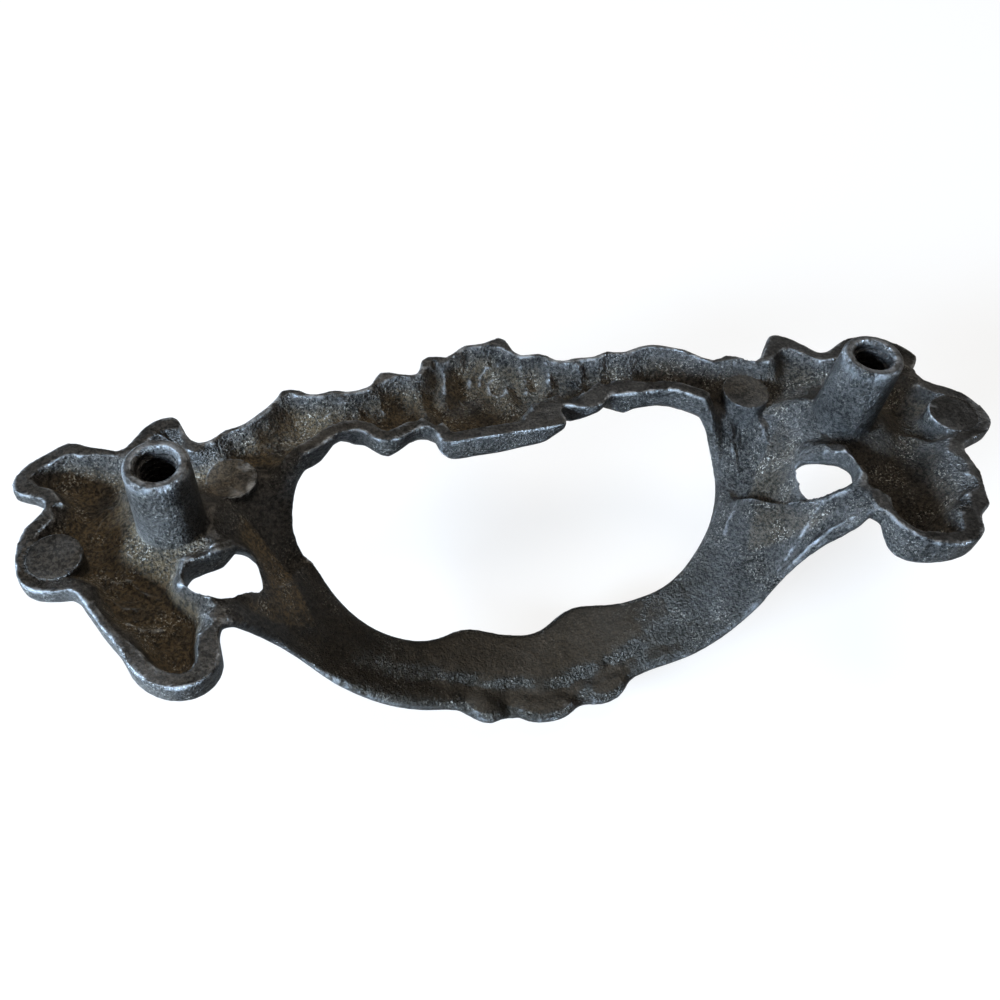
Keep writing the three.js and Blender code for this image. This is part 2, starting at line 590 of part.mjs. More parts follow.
// The plan's points: the edges, rows that follow the rim and the hollow's wall, and an even field between.
function planPoints() {
  const points = allLoops.flat();
  for (const row of ["rim", "edge", "foot"]) {
    for (const [loop, side] of loopSides) {
      const insetAt = (x, y) => {
        const rim = rimWidths(x, y)[side];
        return { rim, edge: BULGE_ROW, foot: rim + wallRuns(x, y)[side] * FOOT_SHARE }[row];
      };
      addSpaced(points, insetRow(loop, insetAt, side !== "outer"), ROW_GAP);
    }
  }
  const lines = [...crescentLines(), ...[...RIDGES, ...BACK_GROOVES].map((line) => line.points)];
  for (const line of lines) addSpaced(points, pointsAlong(line), LINE_GAP);
  const field = [];
  for (let row = 0; row * FIELD_RISE < 2 * FIELD_DEPTH; row++) {
    for (let column = 0; column * INNER_STEP < 2 * FIELD_HALF; column++) {
      const shift = INNER_STEP * (column + (row % 2) / 2) + FIELD_SHAKE * Math.sin(7 * row + 3 * column);
      const lift = FIELD_RISE * row + FIELD_SHAKE * Math.cos(5 * row + 11 * column);
      const place = [shift - FIELD_HALF, lift - FIELD_DEPTH];
      if (isInCasting(...place)) field.push(place);
    }
  }
  addSpaced(points, field, FIELD_GAP);
  return points;
}

function circleOf(points, a, b, c) {
  const [ax, ay] = points[a];
  const bx = points[b][0] - ax;
  const by = points[b][1] - ay;
  const cx = points[c][0] - ax;
  const cy = points[c][1] - ay;
  const twice = 2 * (bx * cy - by * cx);
  const ux = (cy * (bx * bx + by * by) - by * (cx * cx + cy * cy)) / twice;
  const uy = (bx * (cx * cx + cy * cy) - cx * (bx * bx + by * by)) / twice;
  return { corners: [a, b, c], x: ax + ux, y: ay + uy, square: ux * ux + uy * uy };
}

// Delaunay triangles of the points, made by adding one point after another.
function triangulate(sites) {
  const points = [...sites, [-FAR_CORNER, -FAR_CORNER], [FAR_CORNER, -FAR_CORNER], [0, FAR_CORNER]];
  const first = sites.length;
  let triangles = [circleOf(points, first, first + 1, first + 2)];
  sites.forEach(([x, y], index) => {
    const edges = new Map();
    const kept = [];
    for (const triangle of triangles) {
      if ((x - triangle.x) ** 2 + (y - triangle.y) ** 2 >= triangle.square) {
        kept.push(triangle);
        continue;
      }
      const [a, b, c] = triangle.corners;
      for (const [from, to] of [[a, b], [b, c], [c, a]]) {
        if (!edges.delete(`${to},${from}`)) edges.set(`${from},${to}`, [from, to]);
      }
    }
    for (const [from, to] of edges.values()) kept.push(circleOf(points, from, to, index));
    triangles = kept;
  });
  return triangles.map(({ corners }) => corners).filter((corners) => Math.max(...corners) < first);
}

function solidFrom(vertProperties, triVerts) {
  return new wasm.Manifold(new wasm.Mesh({ numProp: 3, vertProperties, triVerts }));
}

// The casting without its posts: a back face, a front face and the walls along every edge.
function castSheet() {
  const points = planPoints();
  const triangles = triangulate(points).filter((corners) => {
    const [a, b, c] = corners.map((corner) => points[corner]);
    return isInCasting((a[0] + b[0] + c[0]) / 3, (a[1] + b[1] + c[1]) / 3);
  });
  const count = points.length;
  const positions = new Float32Array(count * 6);
  points.forEach(([x, y], i) => {
    const back = backLevel(x, y);
    positions.set([drawnToPlace(x), y, back], i * 3);
    positions.set([drawnToPlace(x), y, frontLevel(x, y, back)], (count + i) * 3);
  });
  const faces = [];
  const borders = new Map();
  for (const [a, b, c] of triangles) {
    faces.push(a, b, c, count + a, count + c, count + b);
    for (const [from, to] of [[a, b], [b, c], [c, a]]) {
      if (!borders.delete(`${to},${from}`)) borders.set(`${from},${to}`, [from, to]);
    }
  }
  for (const [from, to] of borders.values()) {
    faces.push(to, from, count + from, to, count + from, count + to);
  }
  return solidFrom(positions, new Uint32Array(faces));
}

// A turned solid about an upright axis, from its profile of radius and height.
function turned(profile, x, y) {
  const points = profile.map(([radius, z]) => new THREE.Vector2(radius, z));
  const geometry = new THREE.LatheGeometry(points, ROUND_SIDES);
  geometry.rotateX(Math.PI / 2);
  geometry.translate(x, y, 0);
  geometry.deleteAttribute("normal");
  geometry.deleteAttribute("uv");
  const merged = mergeVertices(geometry, 1e-4);
  return solidFrom(merged.attributes.position.array, new Uint32Array(merged.index.array));
}

function postSolid(side) {
  const floor = backLevel(DRAWN_HALF, 0);
  const foot = floor - FLOOR_WALL / 2;
  const profile = [
    [0, foot],
    [POST_BASE_RADIUS + POST_FILLET, foot],
    [POST_BASE_RADIUS + POST_FILLET, floor],
    [POST_BASE_RADIUS + POST_FILLET * 0.3, floor + POST_FILLET * 0.35],
    [POST_BASE_RADIUS, floor + POST_FILLET],
    [POST_END_RADIUS, -POST_EDGE],
    [POST_END_RADIUS - POST_EDGE, 0],
    [0, 0],
  ];
  return turned(profile, (side * POST_SPACING) / 2, 0);
}

function boreCutter(side) {
  const profile = [
    [0, -BORE_DEPTH - BORE_RADIUS / 2],
    [BORE_RADIUS, -BORE_DEPTH],
    [BORE_RADIUS, -BORE_MOUTH],
    [BORE_RADIUS + BORE_MOUTH, 0],
    [BORE_RADIUS + BORE_MOUTH, 1],
    [0, 1],
  ];
  return turned(profile, (side * POST_SPACING) / 2, 0);
}

// A pad stands on the hollow's floor, and its foot reaches just under the lowest floor around it.
function padSolid(pad) {
  const top = edgeLevel(pad.x, pad.y) - pad.drop;
  let foot = backLevel(pad.x, pad.y);
  for (let turn = 0; turn < 2 * Math.PI; turn += Math.PI / 4) {
    const level = backLevel(pad.x + PAD_RADIUS * Math.cos(turn), pad.y + PAD_RADIUS * Math.sin(turn));
    foot = Math.min(foot, level);
  }
  const profile = [
    [0, foot - PAD_ROOT],
    [PAD_RADIUS, foot - PAD_ROOT],
    [PAD_RADIUS, top],
    [0, top],
  ];
  return turned(profile, drawnToPlace(pad.x), pad.y);
}

function castingGeometry() {
  let solid = castSheet();
  for (const side of [-1, 1]) {
    solid = solid.add(postSolid(side)).subtract(boreCutter(side));
  }
  for (const pad of PADS) solid = solid.add(padSolid(pad));
  const mesh = solid.getMesh();
  const geometry = new THREE.BufferGeometry();
  geometry.setAttribute("position", new THREE.BufferAttribute(mesh.vertProperties, 3));
  geometry.setIndex(new THREE.BufferAttribute(mesh.triVerts, 1));
  geometry.computeVertexNormals();
  return geometry;
}

const darkMetal = new THREE.MeshStandardMaterial({ color: 0x35302b, roughness: 0.5, metalness: 0.85 });
const casting = new THREE.Mesh(castingGeometry(), darkMetal);
casting.name = "pull_casting";

const group = new THREE.Group();
group.add(casting);

export default group;
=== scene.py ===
"""The look of a cast drawer pull: its refined surface, its threads, its dark patina and a plain stage."""

from __future__ import annotations

import logging
import math
from dataclasses import dataclass
from enum import Enum

import bmesh
import bpy
import numpy as np
from mathutils import Euler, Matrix, Vector, kdtree, noise


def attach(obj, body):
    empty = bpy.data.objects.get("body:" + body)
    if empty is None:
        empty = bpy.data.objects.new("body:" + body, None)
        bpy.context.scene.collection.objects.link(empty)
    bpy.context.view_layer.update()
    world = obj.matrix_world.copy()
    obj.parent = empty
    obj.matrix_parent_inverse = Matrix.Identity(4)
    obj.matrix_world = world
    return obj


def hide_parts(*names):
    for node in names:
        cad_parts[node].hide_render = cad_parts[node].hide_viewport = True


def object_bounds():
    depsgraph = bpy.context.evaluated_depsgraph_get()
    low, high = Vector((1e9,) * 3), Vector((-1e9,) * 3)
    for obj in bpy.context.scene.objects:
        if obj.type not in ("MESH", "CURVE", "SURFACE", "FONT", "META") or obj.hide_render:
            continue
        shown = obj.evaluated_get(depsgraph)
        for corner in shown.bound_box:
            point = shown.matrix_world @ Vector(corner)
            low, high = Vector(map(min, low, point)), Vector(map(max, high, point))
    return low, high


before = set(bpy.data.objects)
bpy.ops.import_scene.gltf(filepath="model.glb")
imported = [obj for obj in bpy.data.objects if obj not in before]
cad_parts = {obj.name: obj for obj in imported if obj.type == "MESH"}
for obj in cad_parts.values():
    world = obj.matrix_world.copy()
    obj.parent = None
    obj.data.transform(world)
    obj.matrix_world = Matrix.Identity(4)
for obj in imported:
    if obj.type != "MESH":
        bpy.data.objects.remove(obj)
cad_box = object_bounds()

MM = 0.001
NODE = "pull_casting"
BODY = "root"

# Share of a stroke's length over which it fades in, and share of a ledge's run that stays level.
TAPER = (-0.02, 0.22)
LEDGE_TOP = 0.2

log = logging.getLogger("drawer_pull")

Point = tuple[float, float]
Point3 = tuple[float, float, float]
Colour = tuple[float, float, float]


class Face(Enum):
    """The face of the casting that a stroke lies on, as the sign of its normal along Z."""

    BACK = 1
    FRONT = -1


def smoothstep(value: np.ndarray, low: float, high: float) -> np.ndarray:
    """Rise smoothly from 0 at low to 1 at high."""
    share = np.clip((value - low) / (high - low), 0, 1)
    return share * share * (3 - 2 * share)


def along_line(places: np.ndarray, points: tuple[Point, ...]) -> tuple[np.ndarray, np.ndarray, np.ndarray]:
    """Measure how far plan places lie from a line of points, on which side, and how far along it.

    Args:
        places: Plan places, one row each, in millimetres.
        points: The line's points in the plan, in millimetres.

    Returns:
        The distance from the line, the same with a sign that is plus on the line's left, and the share of
        the line's length at the nearest point.
    """
    corners = np.array(points, float)
    steps = np.diff(corners, axis=0)
    lengths = np.hypot(steps[:, 0], steps[:, 1])
    starts = np.concatenate([[0], np.cumsum(lengths)])
    best = np.full(len(places), np.inf)
    signed = np.zeros(len(places))
    share = np.zeros(len(places))
    for corner, step, length, start in zip(corners, steps, lengths, starts):
        away = places - corner
        run = np.clip((away @ step) / length**2, 0, 1)
        off = np.hypot(*(away - run[:, None] * step).T)
        nearer = off < best
        best[nearer] = off[nearer]
        left = np.sign(step[0] * away[nearer, 1] - step[1] * away[nearer, 0])
        signed[nearer] = left * off[nearer]
        share[nearer] = (start + run[nearer] * length) / starts[-1]
    return best, signed, share


@dataclass(frozen=True)
class Stroke:
    """A raised or cut line on a face of the casting, in the plan, in millimetres.

    Attributes:
        points: Points that the line goes through.
        height: How far the line stands proud, or below zero, how deep it is cut.
        width: Half width at which the line has mostly faded.
        run: For a ledge, how far the lift on the line's left side fades out. Zero is a plain line.
        face: Face that it lies on.
        is_tapered: Whether it fades out towards its ends.
        is_mirrored: Whether the other half of the casting has it too.
    """

    points: tuple[Point, ...]
    height: float
    width: float
    run: float = 0.0
    face: Face = Face.BACK
    is_tapered: bool = True
    is_mirrored: bool = False

    def lift(self, places: np.ndarray) -> np.ndarray:
        """Work out how far the stroke lifts each plan place.

        Args:
            places: Plan places, one row each, in millimetres.

        Returns:
            The lift of each place, in millimetres.
        """
        lines = [self.points]
        if self.is_mirrored:
            lines.append(tuple((-x, y) for x, y in reversed(self.points)))
        lift = np.zeros(len(places))
        for line in lines:
            corners = np.array(line)
            reach = 3 * self.width + self.run
            near = np.all((places > corners.min(0) - reach) & (places < corners.max(0) + reach), axis=1)
            off, signed, share = along_line(places[near], line)
            if self.run:
                height = self.height * smoothstep(signed, -self.width, self.width)
                height *= 1 - smoothstep(off, LEDGE_TOP * self.run, self.run)
            else:
                height = self.height * np.exp(-((off / self.width) ** 2))
            if self.is_tapered:
                height *= smoothstep(np.minimum(share, 1 - share), *TAPER)
            lift[near] += height
        return lift


@dataclass
class Turned:
    """A turned form of the casting: a profile about an upright axis.

    Attributes:
        centre: Place of the axis in the plan, in millimetres.
        profile: Radius and height of each point, from the outside in, in millimetres.
        reach: How far from the profile the cast surface is drawn onto it.
        soft: Height over which the drawing fades in above the profile's foot.
    """

    centre: Point
    profile: tuple[Point, ...]
    reach: float = 0.45
    soft: float = 0.6

    @property
    def foot(self) -> float:
        """Height at which the profile begins."""
        return self.profile[0][1]

    @property
    def widest(self) -> float:
        """Largest radius of the profile."""
        return max(radius for radius, _ in self.profile)

    def radii(self, co: np.ndarray) -> np.ndarray:
        """Measure how far points lie from the axis."""
        return np.hypot(co[:, 0] - self.centre[0], co[:, 1] - self.centre[1])

    def draw(self, co: np.ndarray) -> None:
        """Move the points that lie near the profile onto it.

        Args:
            co: The points, in millimetres, which are changed in place.
        """
        radii = self.radii(co)
        near = (radii < self.widest + self.reach) & (co[:, 2] > self.foot)
        section = np.column_stack([radii[near], co[near, 2]])
        corners = np.array(self.profile, float)
        best = np.full(len(section), np.inf)
        target = section.copy()
        for start, step in zip(corners, np.diff(corners, axis=0)):
            run = np.clip(((section - start) @ step) / (step @ step), 0, 1)
            place = start + run[:, None] * step
            off = np.hypot(*(section - place).T)
            nearer = off < best
            best[nearer] = off[nearer]
            target[nearer] = place[nearer]
        pull = (1 - smoothstep(best, self.reach * 0.7, self.reach)) * smoothstep(
            section[:, 1], self.foot, self.foot + self.soft
        )
        moved = section + pull[:, None] * (target - section)
        stretch = moved[:, 0] / np.maximum(section[:, 0], 1e-6)
        axis = np.array(self.centre)
        co[near, :2] = axis + (co[near, :2] - axis) * stretch[:, None]
        co[near, 2] = moved[:, 1]


def rounded(corners: list[Point], radius: float, steps: int = 4) -> tuple[Point, ...]:
    """Round the inner corners of an open profile.

    Args:
        corners: Points of the profile.
        radius: How far from each corner the rounding begins.
        steps: Number of pieces in each rounding.

    Returns:
        The profile with a short curve at each inner corner.
    """
    made = [corners[0]]
    for before, corner, after in zip(corners, corners[1:], corners[2:]):
        to_before = Vector(before) - Vector(corner)
        to_after = Vector(after) - Vector(corner)
        start = Vector(corner) + to_before.normalized() * min(radius, to_before.length / 2)
        end = Vector(corner) + to_after.normalized() * min(radius, to_after.length / 2)
        for i in range(steps + 1):
            t = i / steps
            place = start * (1 - t) ** 2 + Vector(corner) * 2 * t * (1 - t) + end * t**2
            made.append((place.x, place.y))
    made.append(corners[-1])
    return tuple(made)


def tree_of(places: list[Vector]) -> kdtree.KDTree:
    """Build a search tree of places.

    Args:
        places: The places.

    Returns:
        The tree, which gives each place by its index.
    """
    tree = kdtree.KDTree(len(places))
    for i, place in enumerate(places):
        tree.insert(place, i)
    tree.balance()
    return tree


class Mesh:
    """Points of a dense mesh as arrays, with the neighbours of each point."""

    def __init__(self, data: bpy.types.Mesh) -> None:
        """Read the points and edges of a mesh.

        Args:
            data: The mesh.
        """
        count = len(data.vertices)
        self.data = data
        self.co = np.empty(count * 3)
        data.vertices.foreach_get("co", self.co)
        self.co = self.co.reshape(-1, 3)
        edges = np.empty(len(data.edges) * 2, int)
        data.edges.foreach_get("vertices", edges)
        self.a, self.b = edges.reshape(-1, 2).T
        self.degree = np.bincount(self.a, minlength=count) + np.bincount(self.b, minlength=count)

    def normals(self) -> np.ndarray:
        """Work out the normals at the points as they lie now."""
        self.store()
        found = np.empty(len(self.co) * 3)
        self.data.vertices.foreach_get("normal", found)
        return found.reshape(-1, 3)

    def store(self) -> None:
        """Write the points back to the mesh."""
        self.data.vertices.foreach_set("co", self.co.ravel())
        self.data.update()

    def around(self, values: np.ndarray) -> np.ndarray:
        """Average the values of each point's neighbours.

        Args:
            values: One value a point.

        Returns:
            The averages.
        """
        count = len(self.co)
        total = np.bincount(self.a, values[self.b], count) + np.bincount(self.b, values[self.a], count)
        return total / self.degree

    def blur(self, values: np.ndarray, times: int) -> np.ndarray:
        """Soften a value over the surface.

        Args:
            values: One value a point.
            times: Number of passes.

        Returns:
            The softened values.
        """
        for _ in range(times):
            values = (values + self.around(values)) / 2
        return values

    def relax(self, weight: np.ndarray, times: int, axes: tuple[int, ...] = (0, 1, 2)) -> None:
        """Smooth the shape along some axes, each point by its own weight from 0 to 1.

        Args:
            weight: Weight of each point.
            times: Number of passes.
            axes: Axes that the points move along.
        """
        for _ in range(times):
            for axis in axes:
                value = self.co[:, axis]
                self.co[:, axis] = value + weight * 0.5 * (self.around(value) - value)

    def attribute(self, name: str, values: np.ndarray) -> None:
        """Keep a value of each point for the material.

        Args:
            name: Name of the attribute.
            values: One value a point.
        """
        layer = self.data.attributes.new(name, "FLOAT", "POINT")
        layer.data.foreach_set("value", values.astype(np.float32))


def field_noise(co: np.ndarray, size: float, seed: float) -> np.ndarray:
    """Read smooth noise at points.

    Args:
        co: The points, in millimetres.
        size: Size of the noise's lumps, in millimetres.
        seed: Shift that sets this noise apart.

    Returns:
        Values from about -1 to 1.
    """
    scaled = co / np.array(Vector((size,) * 3)) + seed
    return np.array([noise.noise(Vector(place)) for place in scaled])


@dataclass(frozen=True)
class BackEdge:
    """The back edge all round the plan, where an upright wall meets the back face.

    Attributes:
        tree: Places along it, flattened into the plan.
        levels: Height of each place, in millimetres.
        steepness: How steep the back face is next to each place, from 0 to 1.
    """

    tree: kdtree.KDTree
    levels: np.ndarray
    steepness: np.ndarray


@dataclass(frozen=True)
class Surroundings:
    """What lies near each point of the fine casting.

    Attributes:
        edge_off: Distance from the back edge in the plan, in millimetres.
        edge_level: Height of the back edge nearby, in millimetres.
        steepness: How steep the back face is at the nearest edge, from 0 to 1.
        free: Share of the relief that the point takes, small next to rims and turned forms.
    """

    edge_off: np.ndarray
    edge_level: np.ndarray
    steepness: np.ndarray
    free: np.ndarray


@dataclass
class Casting:
    """The casting: the solid of the frame, made fine and given the marks of the mould and of use.

    Lengths are millimetres. A fade is a pair: where it begins, and where it is complete.
    """

    strokes: list[Stroke]
    voxel: float = 0.2
    most_faces: int = 190000
    post_x: float = 38.1
    post_end: float = 3.25
    post_base: float = 3.5
    post_foot: float = -9.2
    post_chamfer: Point = (0.28, 0.3)
    post_rounding: float = 0.16
    bore: float = 2.0
    bore_mouth: float = 0.32
    bore_depth: float = 9.5
    pad_radius: float = 2.75
    pad_height: float = 1.2
    pad_rounding: float = 0.14
    pad_reach: float = 0.4
    pads: tuple[Point3, ...] = (
        (-49.5, -2.6, -8.33),
        (-31.5, 5.7, -10.62),
        (29.4, 6.7, -10.59),
        (50.0, -3.3, -8.27),
    )
    edge_spacing: float = 0.25
    edge_slopes: Point = (0.6, 0.9)
    edge_fade: Point = (0.3, 0.9)
    wall_fade: Point = (0.2, 0.6)
    bend_fade: Point = (0.15, 0.9)
    cut_fade: Point = (0.5, 1.5)
    turned_fade: float = 0.8
    fine_reach: float = 0.5
    fine_depth: float = 1.6
    fine_stroke: float = 0.3
    fine_pad: Point = (0.6, 0.8)
    rim_share: float = 0.25
    turned_share: float = 0.15
    skin: tuple[Point3, ...] = ((0.045, 2.6, 3.1), (0.05, 1.1, 11.7), (0.03, 0.55, 23.3))
    wear_and_highlight_percentiles: Point = (92, 99.3)
    post_rims: Point = (0.2, 0.25)
    flat_fade: Point = (0.90, 0.98)
    flat_depth: Point = (0.3, 0.9)
    hollow_depth: Point = (0.5, 2.2)
    hollow_fade: Point = (-0.1, 0.3)

    def merged_copy(self) -> bpy.types.Mesh:
        """Copy the frame's solid as one closed surface, in millimetres."""
        bm = bmesh.new()
        bm.from_mesh(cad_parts[NODE].data)
        bmesh.ops.remove_doubles(bm, verts=bm.verts, dist=1e-6)
        bmesh.ops.scale(bm, vec=(1 / MM,) * 3, verts=bm.verts)
        data = bpy.data.meshes.new("casting_coarse")
        bm.to_mesh(data)
        bm.free()
        return data

    def places_along(self, edge: bmesh.types.BMEdge) -> list[Vector]:
        """List evenly spaced places along an edge.

        Args:
            edge: The edge.

        Returns:
            The places, from its first end on.
        """
        start, end = (vert.co for vert in edge.verts)
        count = max(1, round((end - start).length / self.edge_spacing))
        return [start.lerp(end, i / count) for i in range(count)]

    def back_edge(self, data: bpy.types.Mesh) -> BackEdge:
        """Find the back edge of the coarse casting, without the posts and the pads.

        Args:
            data: The coarse casting.

        Returns:
            The back edge.
        """
        bm = bmesh.new()
        bm.from_mesh(data)
        bm.normal_update()
        places = []
        slopes = []
        for edge in bm.edges:
            if len(edge.link_faces) != 2:
                continue
            upright, level = sorted(edge.link_faces, key=lambda face: abs(face.normal.z))
            if abs(upright.normal.z) > 0.02 or level.normal.z < 0.1 or self.is_turned(edge.verts[0].co):
                continue
            found = self.places_along(edge)
            places += found
            slopes += [level.normal.z] * len(found)
        bm.free()
        return BackEdge(
            tree_of([Vector((place.x, place.y, 0)) for place in places]),
            np.array([place.z for place in places]),
            1 - smoothstep(np.array(slopes), *self.edge_slopes),
        )

    def bends(self, data: bpy.types.Mesh, outline: BackEdge) -> kdtree.KDTree:
        """Find the edges where the flat rim bends down into the hollow.

        Args:
            data: The coarse casting.
            outline: Its back edge, whose height the rim has.

        Returns:
            A search tree of places along those edges.
        """
        bm = bmesh.new()
        bm.from_mesh(data)
        bm.normal_update()
        places = []
        for edge in bm.edges:
            steep, level = sorted(edge.link_faces, key=lambda face: face.normal.z)
            if level.normal.z < 0.98 or not 0.2 < steep.normal.z < 0.95:
                continue
            middle = edge.verts[0].co.lerp(edge.verts[1].co, 0.5)
            _, nearest, _ = outline.tree.find(Vector((middle.x, middle.y, 0)))
            if abs(outline.levels[nearest] - middle.z) < 0.3:
                places += self.places_along(edge)
        bm.free()
        return tree_of(places)

    def is_turned(self, place: Vector) -> bool:
        """Say whether a point belongs to a post or a pad."""
        near_post = math.hypot(abs(place.x) - self.post_x, place.y) < self.post_base + 1
        near_pad = any(math.hypot(place.x - x, place.y - y) < self.pad_radius + 0.1 for x, y, _ in self.pads)
        return near_post or near_pad

    def modified(self, data: bpy.types.Mesh, kind: str, settings: dict[str, object]) -> bpy.types.Mesh:
        """Apply one modifier to a mesh.

        Args:
            data: The mesh.
            kind: Blender's name for the kind of modifier.
            settings: Properties of the modifier.

        Returns:
            A new mesh.
        """
        carrier = bpy.data.objects.new("casting_carrier", data)
        bpy.context.scene.collection.objects.link(carrier)
        modifier = carrier.modifiers.new(kind.lower(), kind)
        for name, value in settings.items():
            setattr(modifier, name, value)
        evaluated = carrier.evaluated_get(bpy.context.evaluated_depsgraph_get())
        made = bpy.data.meshes.new_from_object(evaluated)
        bpy.data.objects.remove(carrier)
        return made

    def remeshed(self, data: bpy.types.Mesh) -> bpy.types.Mesh:
        """Cover the coarse surface with an even fine one."""
        return self.modified(data, "REMESH", {"mode": "VOXEL", "voxel_size": self.voxel})

    def thinned(self, data: bpy.types.Mesh) -> bpy.types.Mesh:
        """Join faces where the surface is plain, down to the number that the piece may have.

        Args:
            data: The fine casting.

        Returns:
            A new mesh.
        """
        count = sum(len(face.vertices) - 2 for face in data.polygons)
        ratio = min(1.0, self.most_faces / count)
        return self.modified(data, "DECIMATE", {"decimate_type": "COLLAPSE", "ratio": ratio})

    def refine(self, data: bpy.types.Mesh) -> None:
        """Split the faces where small forms need more points: at the post ends, the pads and the cracks.

        Args:
            data: The fine casting, which is changed.
        """
        bm = bmesh.new()
        bm.from_mesh(data)
        co = np.array([vert.co for vert in bm.verts])
        fine = np.hypot(np.abs(co[:, 0]) - self.post_x, co[:, 1]) < self.post_end + self.fine_reach
        fine &= co[:, 2] > -self.fine_depth
        for x, y, top in self.pads:
            beside = np.abs(np.hypot(co[:, 0] - x, co[:, 1] - y) - self.pad_radius)
            fine |= (beside < self.fine_pad[0]) & (np.abs(co[:, 2] - top) < self.fine_pad[1])
        for stroke in self.strokes:
            if stroke.width < self.fine_stroke and stroke.face is Face.BACK:
                off, _, _ = along_line(co[:, :2], stroke.points)
                fine |= off < self.fine_reach
        edges = [edge for edge in bm.edges if fine[edge.verts[0].index] and fine[edge.verts[1].index]]
        bmesh.ops.subdivide_edges(bm, edges=edges, cuts=1, use_grid_fill=True)
        bmesh.ops.triangulate(bm, faces=[face for face in bm.faces if len(face.verts) > 4])
        bm.to_mesh(data)
        bm.free()

    def posts(self) -> list[Turned]:
        """List the posts with their bores."""
        mouth = self.bore + self.bore_mouth
        corners = [
            (self.post_base, self.post_foot),
            (self.post_end, -self.post_chamfer[1]),
            (self.post_end - self.post_chamfer[0], 0),
            (mouth, 0),
            (self.bore, -self.bore_mouth),
            (self.bore, -self.bore_depth),
        ]
        return [Turned((side * self.post_x, 0), rounded(corners, self.post_rounding)) for side in (-1, 1)]

    def turned_forms(self) -> list[Turned]:
        """List the posts and the pads."""
        forms = self.posts()
        for x, y, top in self.pads:
            corners = [(self.pad_radius, top - self.pad_height), (self.pad_radius, top), (0, top)]
            forms.append(Turned((x, y), rounded(corners, self.pad_rounding), reach=self.pad_reach))
        return forms

    def surroundings(self, mesh: Mesh, outline: BackEdge, bends: kdtree.KDTree) -> Surroundings:
        """Find what lies near each point of the fine casting.

        Args:
            mesh: The fine casting.
            outline: The back edge.
            bends: Places where the rim bends down.

        Returns:
            What lies near each point.
        """
        found = [outline.tree.find_n(Vector((x, y, 0)), 6) for x, y, _ in mesh.co]
        levels = []
        for hits in found:
            weights = [1 / (off + 0.2) for _, _, off in hits]
            total = sum(outline.levels[i] * weight for (_, i, _), weight in zip(hits, weights))
            levels.append(total / sum(weights))
        edge_off = np.array([hits[0][2] for hits in found])
        steepness = np.array([outline.steepness[hits[0][1]] for hits in found])
        bend_off = np.array([bends.find(Vector(place))[2] for place in mesh.co])
        free = smoothstep(edge_off, *self.edge_fade) * smoothstep(bend_off, *self.bend_fade)
        for form in self.turned_forms():
            below = 1 - smoothstep(mesh.co[:, 2], form.foot - 0.5, form.foot)
            beside = smoothstep(form.radii(mesh.co), form.widest, form.widest + self.turned_fade)
            free *= np.maximum(beside, below)
        return Surroundings(edge_off, np.array(levels), steepness, free)

    def smooth(self, mesh: Mesh, near: Surroundings) -> None:
        """Take the steps of the fine grid out of the surface, and draw the turned forms clean.

        Args:
            mesh: The fine casting.
            near: What lies near its points.
        """
        mesh.relax(np.ones(len(mesh.co)), 1)
        mesh.relax(1 - smoothstep(near.edge_off, *self.wall_fade), 5, axes=(0, 1))
        mesh.relax(near.steepness * (1 - smoothstep(near.edge_off, *self.edge_fade)), 12)
        mesh.relax(near.free, 18)
        for form in self.turned_forms():
            form.draw(mesh.co)

    def carve(self, mesh: Mesh, near: Surroundings) -> None:
        """Raise and cut the strokes on their faces. No cut runs out at an edge.

        Args:
            mesh: The fine casting.
            near: What lies near its points.
        """
        normals = mesh.normals()
        inland = smoothstep(near.edge_off, *self.cut_fade)
        raised = self.rim_share + (1 - self.rim_share) * near.free
        for stroke in self.strokes:
            facing = smoothstep(normals[:, 2] * stroke.face.value, 0.15, 0.45)
            share = inland if stroke.height < 0 else raised
            mesh.co[:, 2] += stroke.face.value * facing * stroke.lift(mesh.co[:, :2]) * share

    def weather(self, mesh: Mesh, near: Surroundings) -> None:
        """Give the skin the uneven surface of a sand-like mould.

        Args:
            mesh: The fine casting.
            near: What lies near its points.
        """
        normals = mesh.normals()
        lift = sum(height * field_noise(mesh.co, size, seed) for height, size, seed in self.skin)
        lift *= self.rim_share + (1 - self.rim_share) * near.free
        for form in self.turned_forms():
            beside = smoothstep(form.radii(mesh.co), form.widest, form.widest + 0.5)
            lift *= self.turned_share + (1 - self.turned_share) * beside
        mesh.co += normals * lift[:, None]

    def find_wear_and_highlight(self, mesh: Mesh, normals: np.ndarray) -> np.ndarray:
        """Work out where the metal is rubbed and where light edge lines are painted: on sharp outer edges and
        round the post ends.

        Args:
            mesh: The fine casting.
            normals: Normals at its points.

        Returns:
            Wear and painted edge highlight of each point, from 0 up.
        """
        # Sharp outer edges and the post rings: partly rubbed metal, partly painted highlight lines.
        hump = sum((mesh.around(mesh.co[:, axis]) - mesh.co[:, axis]) * normals[:, axis] for axis in range(3))
        convex = mesh.blur(-hump, 1)
        wear_and_highlight = smoothstep(convex, *np.percentile(convex, self.wear_and_highlight_percentiles))
        inner, outer = self.post_rims
        for post in self.posts():
            radii = post.radii(mesh.co)
            rims = np.exp(-(((radii - self.bore - self.bore_mouth) / inner) ** 2))
            rims += 0.8 * np.exp(-(((radii - self.post_end + 0.12) / outer) ** 2))
            wear_and_highlight = np.maximum(wear_and_highlight, rims * smoothstep(mesh.co[:, 2], -0.8, -0.3))
        return wear_and_highlight

